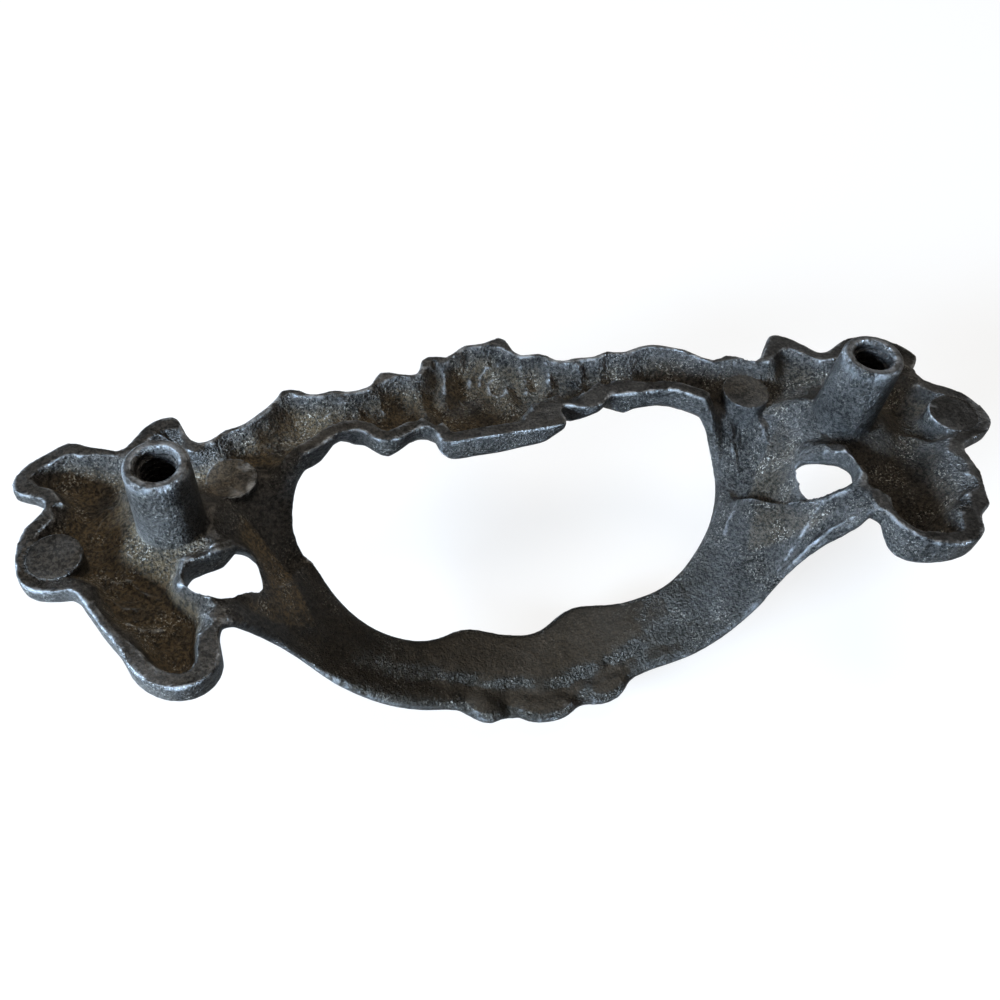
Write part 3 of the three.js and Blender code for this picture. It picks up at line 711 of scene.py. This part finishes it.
    def keep_masks(self, mesh: Mesh, near: Surroundings) -> None:
        """Keep for the material the rubbed edges with their painted highlight, the flats and the hollows, and
        store its points.

        Args:
            mesh: The fine casting.
            near: What lies near its points.
        """
        depth = mesh.blur(np.maximum(near.edge_level - mesh.co[:, 2], 0), 4)
        normals = mesh.normals()
        facing_back = normals[:, 2]
        wear_and_highlight = self.find_wear_and_highlight(mesh, normals)
        flat = smoothstep(mesh.blur(facing_back, 4), *self.flat_fade)
        flat *= 1 - smoothstep(depth, *self.flat_depth)
        flat = np.maximum(flat, (1 - near.free) * smoothstep(facing_back, *self.flat_fade))
        hollow = smoothstep(depth, *self.hollow_depth) * smoothstep(facing_back, *self.hollow_fade)
        mesh.co = np.clip(mesh.co, np.array(cad_box[0]) / MM, np.array(cad_box[1]) / MM)
        mesh.store()
        mesh.attribute("wear_and_highlight", wear_and_highlight)
        mesh.attribute("flat", flat)
        mesh.attribute("hollow", hollow)

    def scale_to_metres(self, data: bpy.types.Mesh) -> None:
        """Scale the casting to metres, keep it inside the solid's box and shade it smooth.

        Args:
            data: The casting in millimetres.
        """
        bm = bmesh.new()
        bm.from_mesh(data)
        bmesh.ops.scale(bm, vec=(MM,) * 3, verts=bm.verts)
        for vert in bm.verts:
            vert.co = [min(max(value, low), high) for value, low, high in zip(vert.co, *cad_box)]
        for face in bm.faces:
            face.smooth = True
        bm.to_mesh(data)
        bm.free()

    def build(self, finish: CastMetalFinish) -> bpy.types.Object:
        """Make the fine casting, dress it and hang it on the frame.

        Args:
            finish: The finish of its metal.

        Returns:
            The casting's object.
        """
        coarse = self.merged_copy()
        outline = self.back_edge(coarse)
        data = self.remeshed(coarse)
        self.refine(data)
        mesh = Mesh(data)
        near = self.surroundings(mesh, outline, self.bends(coarse, outline))
        self.smooth(mesh, near)
        self.carve(mesh, near)
        self.weather(mesh, near)
        self.keep_masks(mesh, near)
        data = self.thinned(data)
        self.scale_to_metres(data)
        data.name = "casting_skin"
        piece = bpy.data.objects.new("casting_skin", data)
        bpy.context.scene.collection.objects.link(piece)
        data.materials.clear()
        data.materials.append(finish.material())
        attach(piece, BODY)
        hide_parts(NODE)
        return piece


@dataclass
class BoreThread:
    """The thread in a post's bore, as one helical ridge that stands out of the bore's wall.

    Lengths are millimetres. The ridge's half height is a share of the pitch.
    """

    name: str
    centre: Point
    bore: float = 2.0
    crest: float = 1.72
    crest_half: float = 0.06
    sunk: float = 0.1
    pitch: float = 0.794
    half_height: float = 0.42
    turns: int = 10
    start: float = -0.6
    sides: int = 40

    def build(self, finish: CastMetalFinish) -> bpy.types.Object:
        """Spin the ridge's section down the bore, close its ends and dress it.

        Args:
            finish: The finish of its metal.

        Returns:
            The thread's object.
        """
        bm = bmesh.new()
        half = self.pitch * self.half_height
        root = self.bore + self.sunk
        section = [
            (root, self.start),
            (self.crest, self.start - half + self.crest_half),
            (self.crest, self.start - half - self.crest_half),
            (root, self.start - 2 * half),
        ]
        verts = [bm.verts.new((self.centre[0] + radius, self.centre[1], z)) for radius, z in section]
        edges = [bm.edges.new((a, b)) for a, b in zip(verts, verts[1:] + verts[:1])]
        bmesh.ops.spin(
            bm,
            geom=verts + edges,
            cent=(*self.centre, 0),
            axis=(0, 0, 1),
            dvec=(0, 0, -self.pitch / self.sides),
            angle=2 * math.pi * self.turns,
            steps=self.sides * self.turns,
            use_merge=False,
        )
        bmesh.ops.holes_fill(bm, edges=[edge for edge in bm.edges if edge.is_boundary], sides=4)
        bmesh.ops.recalc_face_normals(bm, faces=bm.faces)
        bmesh.ops.scale(bm, vec=(MM,) * 3, verts=bm.verts)
        for face in bm.faces:
            face.smooth = len(face.verts) == 4
        data = bpy.data.meshes.new(self.name)
        bm.to_mesh(data)
        bm.free()
        piece = bpy.data.objects.new(self.name, data)
        bpy.context.scene.collection.objects.link(piece)
        data.materials.append(finish.material())
        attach(piece, BODY)
        return piece


class Nodes:
    """Short ways to add and join the nodes of a material or of a node group."""

    def __init__(self, tree: bpy.types.NodeTree) -> None:
        """Keep the tree that the nodes go into."""
        self.tree = tree

    def add(self, kind: str, settings: dict[str, object] | None = None, **inputs: object) -> bpy.types.Node:
        """Add a node.

        Args:
            kind: Blender's name for the kind of node.
            settings: Properties of the node.
            inputs: Sockets by name, with underscores for spaces, each a value or a socket to join.

        Returns:
            The node.
        """
        node = self.tree.nodes.new(kind)
        for name, value in (settings or {}).items():
            setattr(node, name, value)
        for name, value in inputs.items():
            self.set(node.inputs[name.replace("_", " ")], value)
        return node

    def set(self, socket: bpy.types.NodeSocket, value: object) -> None:
        """Join a socket to another one, or give it a value."""
        if isinstance(value, bpy.types.NodeSocket):
            self.tree.links.new(value, socket)
        else:
            socket.default_value = value

    def math(self, operation: str, *values: object, clamp: bool = False) -> bpy.types.NodeSocket:
        """Add a Math node and return its result.

        Args:
            operation: Blender's name for the operation.
            values: Its values or sockets.
            clamp: Whether the result stays from 0 to 1.

        Returns:
            The result's socket.
        """
        node = self.tree.nodes.new("ShaderNodeMath")
        node.operation = operation
        node.use_clamp = clamp
        for socket, value in zip(node.inputs, values):
            self.set(socket, value)
        return node.outputs[0]

    def step(self, value: object, low: float, high: float) -> bpy.types.NodeSocket:
        """Turn a value smoothly into 0 below low and 1 above high.

        Args:
            value: The value or socket.
            low: Where the result is 0.
            high: Where the result is 1.

        Returns:
            The result's socket.
        """
        node = self.tree.nodes.new("ShaderNodeMapRange")
        node.interpolation_type = "SMOOTHSTEP"
        for socket, part in zip(node.inputs, (value, low, high, 0.0, 1.0)):
            self.set(socket, part)
        return node.outputs["Result"]

    def mix(self, share: object, first: object, second: object) -> bpy.types.NodeSocket:
        """Mix two colours and return the result.

        Args:
            share: Share of the second colour.
            first: A colour or socket.
            second: A colour or socket.

        Returns:
            The mixed colour's socket.
        """
        node = self.tree.nodes.new("ShaderNodeMix")
        node.data_type = "RGBA"
        for socket, part in zip((node.inputs[0], node.inputs[6], node.inputs[7]), (share, first, second)):
            self.set(socket, (*part, 1) if isinstance(part, tuple) else part)
        return node.outputs[2]

    def line(self, start: float, gain: float, value: object) -> bpy.types.NodeSocket:
        """Return start plus gain times the value."""
        return self.math("ADD", start, self.math("MULTIPLY", value, gain))

    def attribute(self, name: str) -> bpy.types.NodeSocket:
        """Read a value that the mesh keeps at its points."""
        return self.add("ShaderNodeAttribute", {"attribute_name": name}).outputs["Fac"]

    def noise(self, vector: object, scale: float, detail: float, rough: float = 0.5) -> bpy.types.NodeSocket:
        """Add a noise and return its value."""
        node = self.add("ShaderNodeTexNoise", Vector=vector, Scale=scale, Detail=detail, Roughness=rough)
        return node.outputs[0]


def group_of(
    name: str, inputs: dict[str, object], outputs: dict[str, str]
) -> tuple[Nodes, dict[str, bpy.types.NodeSocket], dict[str, bpy.types.NodeSocket]]:
    """Start a node group with named sockets.

    Args:
        name: Name of the group.
        inputs: Default value of each input, by name. A tuple is a vector.
        outputs: Socket type of each output, by name.

    Returns:
        The nodes, the group's inputs and its outputs by name.
    """
    tree = bpy.data.node_groups.new(name, "ShaderNodeTree")
    for label, value in inputs.items():
        kind = "NodeSocketVector" if isinstance(value, tuple) else "NodeSocketFloat"
        socket = tree.interface.new_socket(label, in_out="INPUT", socket_type=kind)
        socket.default_value = value
    for label, kind in outputs.items():
        tree.interface.new_socket(label, in_out="OUTPUT", socket_type=kind)
    nodes = Nodes(tree)
    start = tree.nodes.new("NodeGroupInput")
    end = tree.nodes.new("NodeGroupOutput")
    return nodes, {s.name: s for s in start.outputs}, {s.name: s for s in end.inputs}


@dataclass(frozen=True)
class CastGrain:
    """The grainy skin of a casting, with painted glints, as a node group. Scales are features per metre."""

    name: str = "cast_grain"
    lump_scale: float = 1100.0
    grain_scale: float = 4200.0
    pit_scale: float = 2600.0
    field_scale: float = 300.0
    glint_scale: float = 4200.0
    mottle_scale: float = 2500.0

    def group(self) -> bpy.types.NodeTree:
        """Build the group: a height of lumps, grain and pits, painted glints as bright flecks in fields, and
        a fine mottle.

        Returns:
            The group.
        """
        nodes, given, out = group_of(
            self.name,
            {"Vector": (0.0, 0.0, 0.0), "Coarseness": 0.5},
            {"Height": "NodeSocketFloat", "PaintedGlints": "NodeSocketFloat", "Mottle": "NodeSocketFloat"},
        )
        place = given["Vector"]
        coarse = given["Coarseness"]
        lumps = nodes.math("MULTIPLY", nodes.noise(place, self.lump_scale, 4.0, 0.62), 0.8)
        grain = nodes.noise(place, self.grain_scale, 3.0, 0.75)
        pits = nodes.add("ShaderNodeTexVoronoi", Vector=place, Scale=self.pit_scale).outputs["Distance"]
        fine = nodes.math("MULTIPLY", grain, nodes.math("ADD", coarse, 0.45))
        rough = nodes.math("MULTIPLY", pits, nodes.math("MULTIPLY", coarse, -0.8))
        nodes.set(out["Height"], nodes.math("ADD", nodes.math("ADD", lumps, fine), rough))
        # Painted glints: bright flecks where the grain would catch the light, gathered in fields.
        fields = nodes.step(nodes.noise(place, self.field_scale, 3.0), 0.44, 0.62)
        glint_spots = nodes.step(nodes.noise(place, self.glint_scale, 3.0, 0.7), 0.56, 0.64)
        share = nodes.math("MULTIPLY", glint_spots, nodes.line(0.08, 0.92, fields))
        nodes.set(out["PaintedGlints"], nodes.math("MULTIPLY", share, coarse, clamp=True))
        nodes.set(out["Mottle"], nodes.step(nodes.noise(place, self.mottle_scale, 4.0, 0.7), 0.40, 0.60))
        return nodes.tree


@dataclass(frozen=True)
class PatinaClouds:
    """Clouds of patina, as a node group. Scales are features per metre, and places are metres.

    Attributes:
        name: Name of the group.
        cloud_scale: Scale of the brown clouds.
        drift_scale: Scale of the slow drift of tone.
        left_brown_and_light_bias: Where along X the brown is least and most. The lean of the brown to the
            left half is partly patina and partly a painted difference in light between the two halves.
        painted_shade_height: Where along Z the painted shade on the bail begins and is complete.
        painted_shade_reach: Where along X it begins and is complete.
    """

    name: str = "patina_clouds"
    cloud_scale: float = 260.0
    drift_scale: float = 210.0
    left_brown_and_light_bias: Point = (0.03, -0.03)
    painted_shade_height: Point = (-0.012, -0.022)
    painted_shade_reach: Point = (0.036, 0.006)

    def group(self) -> bpy.types.NodeTree:
        """Build the group: brown in the hollows, painted shade on the low left of the bail, and a slow drift
        of tone.

        Returns:
            The group.
        """
        nodes, given, out = group_of(
            self.name,
            {"Vector": (0.0, 0.0, 0.0), "Hollow": 0.0},
            {"Brown": "NodeSocketFloat", "Drift": "NodeSocketFloat", "PaintedBailShade": "NodeSocketFloat"},
        )
        place = given["Vector"]
        patches = nodes.step(nodes.noise(place, self.cloud_scale, 4.0, 0.6), 0.18, 0.56)
        parts = nodes.add("ShaderNodeSeparateXYZ", Vector=place).outputs
        # Painted shade: a dark tone on the low left and middle of the bail, where that part lies in shade.
        low = nodes.step(parts["Z"], *self.painted_shade_height)
        nodes.set(out["PaintedBailShade"], nodes.math("MULTIPLY", low, nodes.step(parts["X"], *self.painted_shade_reach)))
        # Brown patina leaning to the left half: partly the patina, partly a painted difference in light
        # between the two halves.
        side = nodes.line(0.35, 0.65, nodes.step(parts["X"], *self.left_brown_and_light_bias))
        share = nodes.line(0.12, 0.9, given["Hollow"])
        brown = nodes.math("MULTIPLY", share, nodes.math("MULTIPLY", patches, side), clamp=True)
        nodes.set(out["Brown"], brown)
        nodes.set(out["Drift"], nodes.step(nodes.noise(place, self.drift_scale, 4.0), 0.34, 0.64))
        return nodes.tree


@dataclass(frozen=True)
class CastMetalFinish:
    """Dark patinated cast metal: nearly black and smooth where it is rubbed, brown and grainy in the hollows,
    with painted shade on the low bail, painted glints and painted edge highlights.

    Attributes:
        name: Name of the material.
        rubbed: Light tone of the plain metal.
        shaded: Dark tone of the plain metal.
        brown: Light tone of the stain in the hollows.
        soot: Dark tone of that stain.
        painted_bail_shade: Dark tone of the low left and middle of the bail, painted shade.
        bare_and_highlight: Tone of the rims where the patina is rubbed through, also a painted highlight
            along the edges and post rings.
        painted_glint: Tone of the bright flecks, painted glints where the grain would catch the light.
        metallic: How metallic the surface is without stain.
        roughness: Roughness of the plain metal.
        relief: Height of the grain in metres.
    """

    name: str = "dark_cast_metal"
    rubbed: Colour = (0.096, 0.096, 0.098)
    shaded: Colour = (0.006, 0.006, 0.006)
    brown: Colour = (0.165, 0.121, 0.068)
    soot: Colour = (0.034, 0.027, 0.018)
    painted_bail_shade: Colour = (0.022, 0.020, 0.017)
    bare_and_highlight: Colour = (0.40, 0.42, 0.45)
    painted_glint: Colour = (0.66, 0.64, 0.58)
    metallic: float = 0.88
    roughness: float = 0.31
    relief: float = 0.00040

    def material(self) -> bpy.types.Material:
        """Build the material once, and return it."""
        made = bpy.data.materials.get(self.name)
        if made:
            return made
        made = bpy.data.materials.new(self.name)
        made.use_nodes = True
        nodes = Nodes(made.node_tree)
        shader = made.node_tree.nodes["Principled BSDF"]
        place = nodes.add("ShaderNodeTexCoord").outputs["Object"]
        hollow, wear_and_highlight, flat = (nodes.attribute(name) for name in ("hollow", "wear_and_highlight", "flat"))
        clouds = {"node_tree": PatinaClouds().group()}
        patina = nodes.add("ShaderNodeGroup", clouds, Vector=place, Hollow=hollow)
        skin = {"node_tree": CastGrain().group()}
        grain = nodes.add("ShaderNodeGroup", skin, Vector=place, Coarseness=nodes.line(0.35, 0.65, hollow))
        brown = patina.outputs["Brown"]
        mottle = grain.outputs["Mottle"]
        drift = nodes.math("MULTIPLY", patina.outputs["Drift"], 0.4)
        fine = nodes.math("MULTIPLY", mottle, nodes.line(0.6, -0.3, flat))
        tone = nodes.math("ADD", drift, fine, clamp=True)
        base = nodes.mix(tone, self.shaded, self.rubbed)
        # Painted shade on the low left and middle of the bail.
        base = nodes.mix(nodes.math("MULTIPLY", patina.outputs["PaintedBailShade"], 0.8), base, self.painted_bail_shade)
        base = nodes.mix(brown, base, nodes.mix(mottle, self.soot, self.brown))
        # Rubbed edges: partly the patina rubbed through, partly a painted highlight along the edges and post
        # rings.
        broken = nodes.step(nodes.noise(place, 700.0, 5.0, 0.65), 0.38, 0.58)
        base = nodes.mix(nodes.math("MULTIPLY", nodes.math("MULTIPLY", wear_and_highlight, broken), 0.75), base, self.bare_and_highlight)
        # Painted glints in the colour, fewer on the flats.
        painted_glints = nodes.math("MULTIPLY", grain.outputs["PaintedGlints"], nodes.line(1.0, -0.85, flat))
        base = nodes.mix(painted_glints, base, self.painted_glint)
        nodes.set(shader.inputs["Base Color"], base)
        clean = nodes.line(1.0, -0.8, brown)
        nodes.set(shader.inputs["Metallic"], nodes.math("MULTIPLY", clean, self.metallic))
        rough = nodes.math("ADD", nodes.line(self.roughness, 0.25, brown), nodes.math("MULTIPLY", flat, 0.14))
        nodes.set(shader.inputs["Roughness"], rough)
        strength = nodes.line(1.0, -0.7, flat)
        height = grain.outputs["Height"]
        bump = nodes.add("ShaderNodeBump", Strength=strength, Distance=self.relief, Height=height)
        nodes.set(shader.inputs["Normal"], bump.outputs["Normal"])
        return made


@dataclass(frozen=True)
class Lamp:
    """A square soft lamp that faces the pull. Lengths are metres, and its power is in watts."""

    name: str
    place: Point3
    size: float
    power: float
    colour: Colour

    def hang(self) -> None:
        """Hang the lamp in its place."""
        light = bpy.data.lights.new(self.name, "AREA")
        light.size = self.size
        light.energy = self.power
        light.color = self.colour
        lamp = bpy.data.objects.new(self.name, light)
        lamp.location = self.place
        lamp.rotation_euler = (-Vector(self.place)).to_track_quat("-Z", "Y").to_euler()
        bpy.context.scene.collection.objects.link(lamp)


@dataclass
class Stage:
    """Floor, light and camera. Lengths are metres, and the camera's turn is in degrees."""

    floor_half: float = 3.0
    floor_tone: float = 0.86
    floor_dimmed: Colour = (0.24, 0.225, 0.21)
    floor_glow: float = 0.8
    floor_fade: Point = (0.25, 0.9)
    ambient: float = 0.088
    ambient_colour: Colour = (1.0, 0.92, 0.82)
    lamps: tuple[Lamp, ...] = (
        Lamp("window_key", (-0.57, -0.26, 0.15), 0.24, 25.0, (0.62, 0.80, 1.0)),
        Lamp("ceiling_fill", (0.05, 0.12, 0.60), 0.30, 2.2, (1.0, 0.92, 0.80)),
    )
    camera_place: Point3 = (-0.029878, -0.064503, 0.073366)
    camera_turn: Point3 = (37.359, -2.3145, -13.5257)
    lens: float = 35.873
    sensor: float = 36.0
    shift: Point = (0.07, 0.01)

    def floor(self) -> None:
        """Lay the pale floor under the lowest point of the pull."""
        bm = bmesh.new()
        bmesh.ops.create_grid(bm, x_segments=1, y_segments=1, size=self.floor_half)
        bmesh.ops.translate(bm, verts=bm.verts, vec=(0, 0, cad_box[0].z))
        data = bpy.data.meshes.new("floor")
        bm.to_mesh(data)
        bm.free()
        floor = bpy.data.objects.new("floor", data)
        bpy.context.scene.collection.objects.link(floor)
        data.materials.append(self.floor_material())

    def floor_material(self) -> bpy.types.Material:
        """Build the floor's material: nearly white to the camera, whiter far off, and dim to the pull.

        Returns:
            The material.
        """
        material = bpy.data.materials.new("pale_floor")
        material.use_nodes = True
        tree = material.node_tree
        tree.nodes.clear()
        nodes = Nodes(tree)
        seen = nodes.add("ShaderNodeLightPath").outputs["Is Camera Ray"]
        matt = nodes.add("ShaderNodeBsdfDiffuse")
        nodes.set(matt.inputs["Color"], nodes.mix(seen, self.floor_dimmed, (self.floor_tone,) * 3))
        white = nodes.add("ShaderNodeEmission", Color=(1, 1, 1, 1), Strength=1.0)
        place = nodes.add("ShaderNodeTexCoord").outputs["Object"]
        away = nodes.add("ShaderNodeVectorMath", {"operation": "LENGTH"}, Vector=place).outputs["Value"]
        glow = nodes.line(self.floor_glow, 1 - self.floor_glow, nodes.step(away, *self.floor_fade))
        mixed = tree.nodes.new("ShaderNodeMixShader")
        share = nodes.math("MULTIPLY", seen, glow)
        for socket, part in zip(mixed.inputs, (share, matt.outputs[0], white.outputs[0])):
            nodes.set(socket, part)
        end = tree.nodes.new("ShaderNodeOutputMaterial")
        nodes.set(end.inputs["Surface"], mixed.outputs[0])
        return material

    def world(self) -> None:
        """Surround the pull with dim soft light that the camera sees as white."""
        world = bpy.data.worlds.new("studio")
        bpy.context.scene.world = world
        world.use_nodes = True
        nodes = Nodes(world.node_tree)
        seen = nodes.add("ShaderNodeLightPath").outputs["Is Camera Ray"]
        background = world.node_tree.nodes["Background"]
        nodes.set(background.inputs["Strength"], nodes.line(self.ambient, 1 - self.ambient, seen))
        nodes.set(background.inputs["Color"], nodes.mix(seen, self.ambient_colour, (1.0, 1.0, 1.0)))

    def camera(self) -> None:
        """Set the camera where the photograph was taken from."""
        lens = bpy.data.cameras.new("photo_view")
        lens.sensor_width = self.sensor
        lens.lens = self.lens
        lens.shift_x, lens.shift_y = self.shift
        lens.clip_start = 0.005
        camera = bpy.data.objects.new("photo_view", lens)
        camera.location = self.camera_place
        camera.rotation_euler = Euler([math.radians(turn) for turn in self.camera_turn], "XYZ")
        bpy.context.scene.collection.objects.link(camera)
        bpy.context.scene.camera = camera

    def build(self) -> None:
        """Set the whole stage."""
        self.floor()
        self.world()
        for lamp in self.lamps:
            lamp.hang()
        self.camera()
        bpy.context.scene.view_settings.view_transform = "Standard"


def arc(centre: Point, radius: float, start: float, end: float) -> tuple[Point, ...]:
    """List points of an arc between two angles in degrees."""
    turns = [math.radians(start + (end - start) * i / 10) for i in range(11)]
    return tuple((centre[0] + radius * math.cos(turn), centre[1] + radius * math.sin(turn)) for turn in turns)


CRACKS = [
    Stroke(((-43.5, 5.8), (-45.6, 3.5), (-46.5, 1.5)), -0.28, 0.2),
    Stroke(((-46.6, 0.0), (-44.5, -0.6), (-42.4, -0.8)), -0.2, 0.18),
    Stroke(((-46.9, 0.6), (-44.5, 1.3), (-41.4, 1.0)), -0.14, 0.18),
    Stroke(((32.5, 4.6), (35.0, 2.8)), -0.25, 0.2),
    Stroke(((37.9, -3.9), (40.3, -2.7), (42.7, -1.9)), -0.2, 0.2),
    Stroke(((1.4, 19.1), (1.2, 18.5), (1.2, 17.9)), -0.5, 0.25),
    Stroke(((-6.0, 18.4), (-6.2, 17.2)), -0.5, 0.25),
]

FLASH = [
    Stroke(((-39.5, 13.2), (-38.0, 12.2), (-36.6, 10.9)), 0.3, 0.22),
    Stroke(((-44.7, -2.0), (-43.9, -1.4), (-42.0, -3.4)), 0.12, 0.16),
]

WRINKLES = [
    Stroke(((-46.6, -3.4), (-44.2, -5.2), (-41.8, -5.8)), 0.38, 0.27),
    Stroke(((-46.0, -5.5), (-43.9, -7.2), (-41.4, -7.3)), -0.42, 0.28),
    Stroke(((-45.5, -7.2), (-43.6, -8.7), (-41.3, -8.9)), 0.40, 0.28),
    Stroke(((-44.6, -8.9), (-42.8, -10.4), (-40.5, -10.4)), -0.42, 0.27),
    Stroke(((-43.8, -10.5), (-42.0, -11.6), (-39.7, -11.5)), 0.43, 0.30),
    Stroke(((-42.9, -12.2), (-41.0, -13.3), (-39.0, -13.1)), -0.40, 0.28),
    Stroke(((-47.0, -1.9), (-45.6, -4.5), (-44.8, -8.1)), -0.40, 0.28),
    Stroke(((-44.1, -4.0), (-41.8, -6.9), (-39.8, -8.5)), 0.35, 0.26),
]

CURBS = [
    Stroke(
        ((-38.7, -10.3), (-38.4, -8.1), (-37.5, -6.0), (-35.7, -5.2), (-33.2, -4.0), (-31.5, -1.4)),
        0.24,
        0.32,
    ),
    Stroke(((-31.2, -1.6), (-28.7, -6.6), (-26.4, -4.0)), 0.25, 0.35),
    Stroke(
        ((-38.2, -19.2), (-36.9, -18.2), (-36.6, -16.6), (-37.3, -15.0), (-36.6, -13.1), (-35.1, -11.6)),
        0.14,
        0.22,
    ),
    Stroke(
        ((30.1, -0.3), (31.5, -2.0), (33.3, -4.0), (36.4, -5.4), (37.2, -7.8), (37.0, -10.4)),
        -0.34,
        0.24,
    ),
    Stroke(((46.0, -1.2), (47.0, -2.7), (47.2, -4.6), (48.5, -5.7)), 0.2, 0.3),
]

LEG_AND_BAIL = [
    Stroke(
        (
            (33.5, -10.8), (31.1, -9.8), (29.4, -8.6), (28.6, -7.7),
            (27.9, -6.6), (27.1, -4.9), (26.0, -3.4), (24.7, -2.7),
        ),
        1.2,
        0.25,
        run=4.4,
    ),
    Stroke(((29.9, -7.6), (28.7, -6.0), (27.8, -4.2), (26.8, -2.8), (25.9, -1.9)), -0.9, 0.6),
    Stroke(((28.8, 4.1), (28.9, 2.7), (29.2, 0.6), (29.0, -1.0), (28.3, -2.6)), -0.8, 0.5),
    Stroke(((26.7, 4.3), (27.0, 2.5), (27.3, 0.6), (27.1, -1.5)), 0.35, 0.6),
    Stroke(((30.0, 3.4), (30.1, 1.0), (29.9, -2.1), (29.2, -5.0)), 0.35, 0.6),
    Stroke(
        ((31.4, -10.2), (30.3, -11.0), (29.1, -12.0), (27.9, -12.9), (26.3, -14.2), (24.2, -15.6)),
        -1.3,
        0.35,
        run=5.0,
    ),
]

SWAG_FOLDS = [
    Stroke(((-20.1, 14.7), (-19.8, 13.2)), -0.4, 0.6),
    Stroke(((-18.2, 15.1), (-17.9, 13.7), (-17.7, 11.3)), 0.55, 0.7),
    Stroke(((-15.8, 14.4), (-15.5, 13.0), (-15.3, 11.3)), -0.5, 0.7),
    Stroke(((-13.7, 15.0), (-13.3, 13.6), (-12.5, 11.7)), 0.4, 0.6),
    Stroke(((-11.0, 15.7), (-10.5, 14.5), (-10.1, 12.6)), -0.5, 0.7),
    Stroke(((-5.3, 17.7), (-5.2, 16.1), (-5.5, 13.7)), 0.4, 0.5),
    Stroke(((-3.4, 18.3), (-3.3, 16.8), (-3.4, 13.8)), -0.5, 0.9),
    Stroke(((-0.7, 19.3), (-1.3, 17.9), (-2.3, 15.4)), 0.3, 0.5),
    Stroke(((3.8, 16.4), (4.1, 14.8), (4.4, 12.3)), 0.55, 0.7),
    Stroke(((5.6, 16.3), (5.7, 15.1), (5.7, 12.8)), -0.45, 0.5),
    Stroke(((6.6, 16.0), (6.8, 14.2), (6.9, 12.0)), 0.5, 0.6),
    Stroke(((10.4, 14.8), (10.7, 13.7), (11.1, 12.5)), 0.35, 0.6),
    Stroke(((11.7, 14.8), (12.0, 13.8), (12.1, 12.6)), -0.45, 0.5),
]

SWIRL = [
    Stroke(((-0.9, 15.4), (-0.4, 17.0), (0.5, 17.8), (1.6, 17.3), (2.1, 16.0)), 0.34, 0.3),
    Stroke(((1.5, 16.3), (0.2, 15.9), (0.0, 14.3), (0.9, 12.9), (1.8, 13.5), (1.9, 14.8)), 0.34, 0.3),
    Stroke(((-0.2, 15.6), (0.5, 16.8), (1.3, 16.9), (1.7, 16.1)), -0.3, 0.25),
    Stroke(arc((-12.7, 13.5), 0.8, 30, 280), 0.3, 0.22),
]

FRONT_VEINS = [
    Stroke(points, -0.35, 0.35, face=Face.FRONT, is_mirrored=True)
    for points in (
        ((-38.0, 0.0), (-43.0, 2.5), (-49.0, 5.0)),
        ((-38.0, -1.0), (-44.0, -2.0), (-51.0, -3.0)),
        ((-38.5, -2.0), (-41.0, -8.0), (-41.5, -16.0)),
        ((-37.0, 1.0), (-38.5, 5.0), (-39.0, 10.0)),
        ((-33.0, 5.0), (-26.0, 9.0), (-19.0, 11.5)),
    )
]
MIDDLE_VEIN = Stroke(((0.0, 9.0), (0.0, 13.0), (0.0, 18.0)), -0.35, 0.35, face=Face.FRONT)

MARKS = [*CRACKS, *FLASH, *WRINKLES, *CURBS, *LEG_AND_BAIL, *SWAG_FOLDS, *SWIRL, *FRONT_VEINS, MIDDLE_VEIN]


def main() -> None:
    """Build the pull's pieces in order, and the stage."""
    logging.basicConfig(level=logging.INFO, format="%(message)s")
    finish = CastMetalFinish()
    casting = Casting(strokes=MARKS)
    pieces = [casting.build(finish)]
    for name, side in (("left_bore_thread", -1), ("right_bore_thread", 1)):
        pieces.append(BoreThread(name, (side * casting.post_x, 0)).build(finish))
    for piece in pieces:
        log.info("%s: %d points, %d faces", piece.name, len(piece.data.vertices), len(piece.data.polygons))
    Stage().build()
    log.info("stage set")


if __name__ == "__main__":
    main()
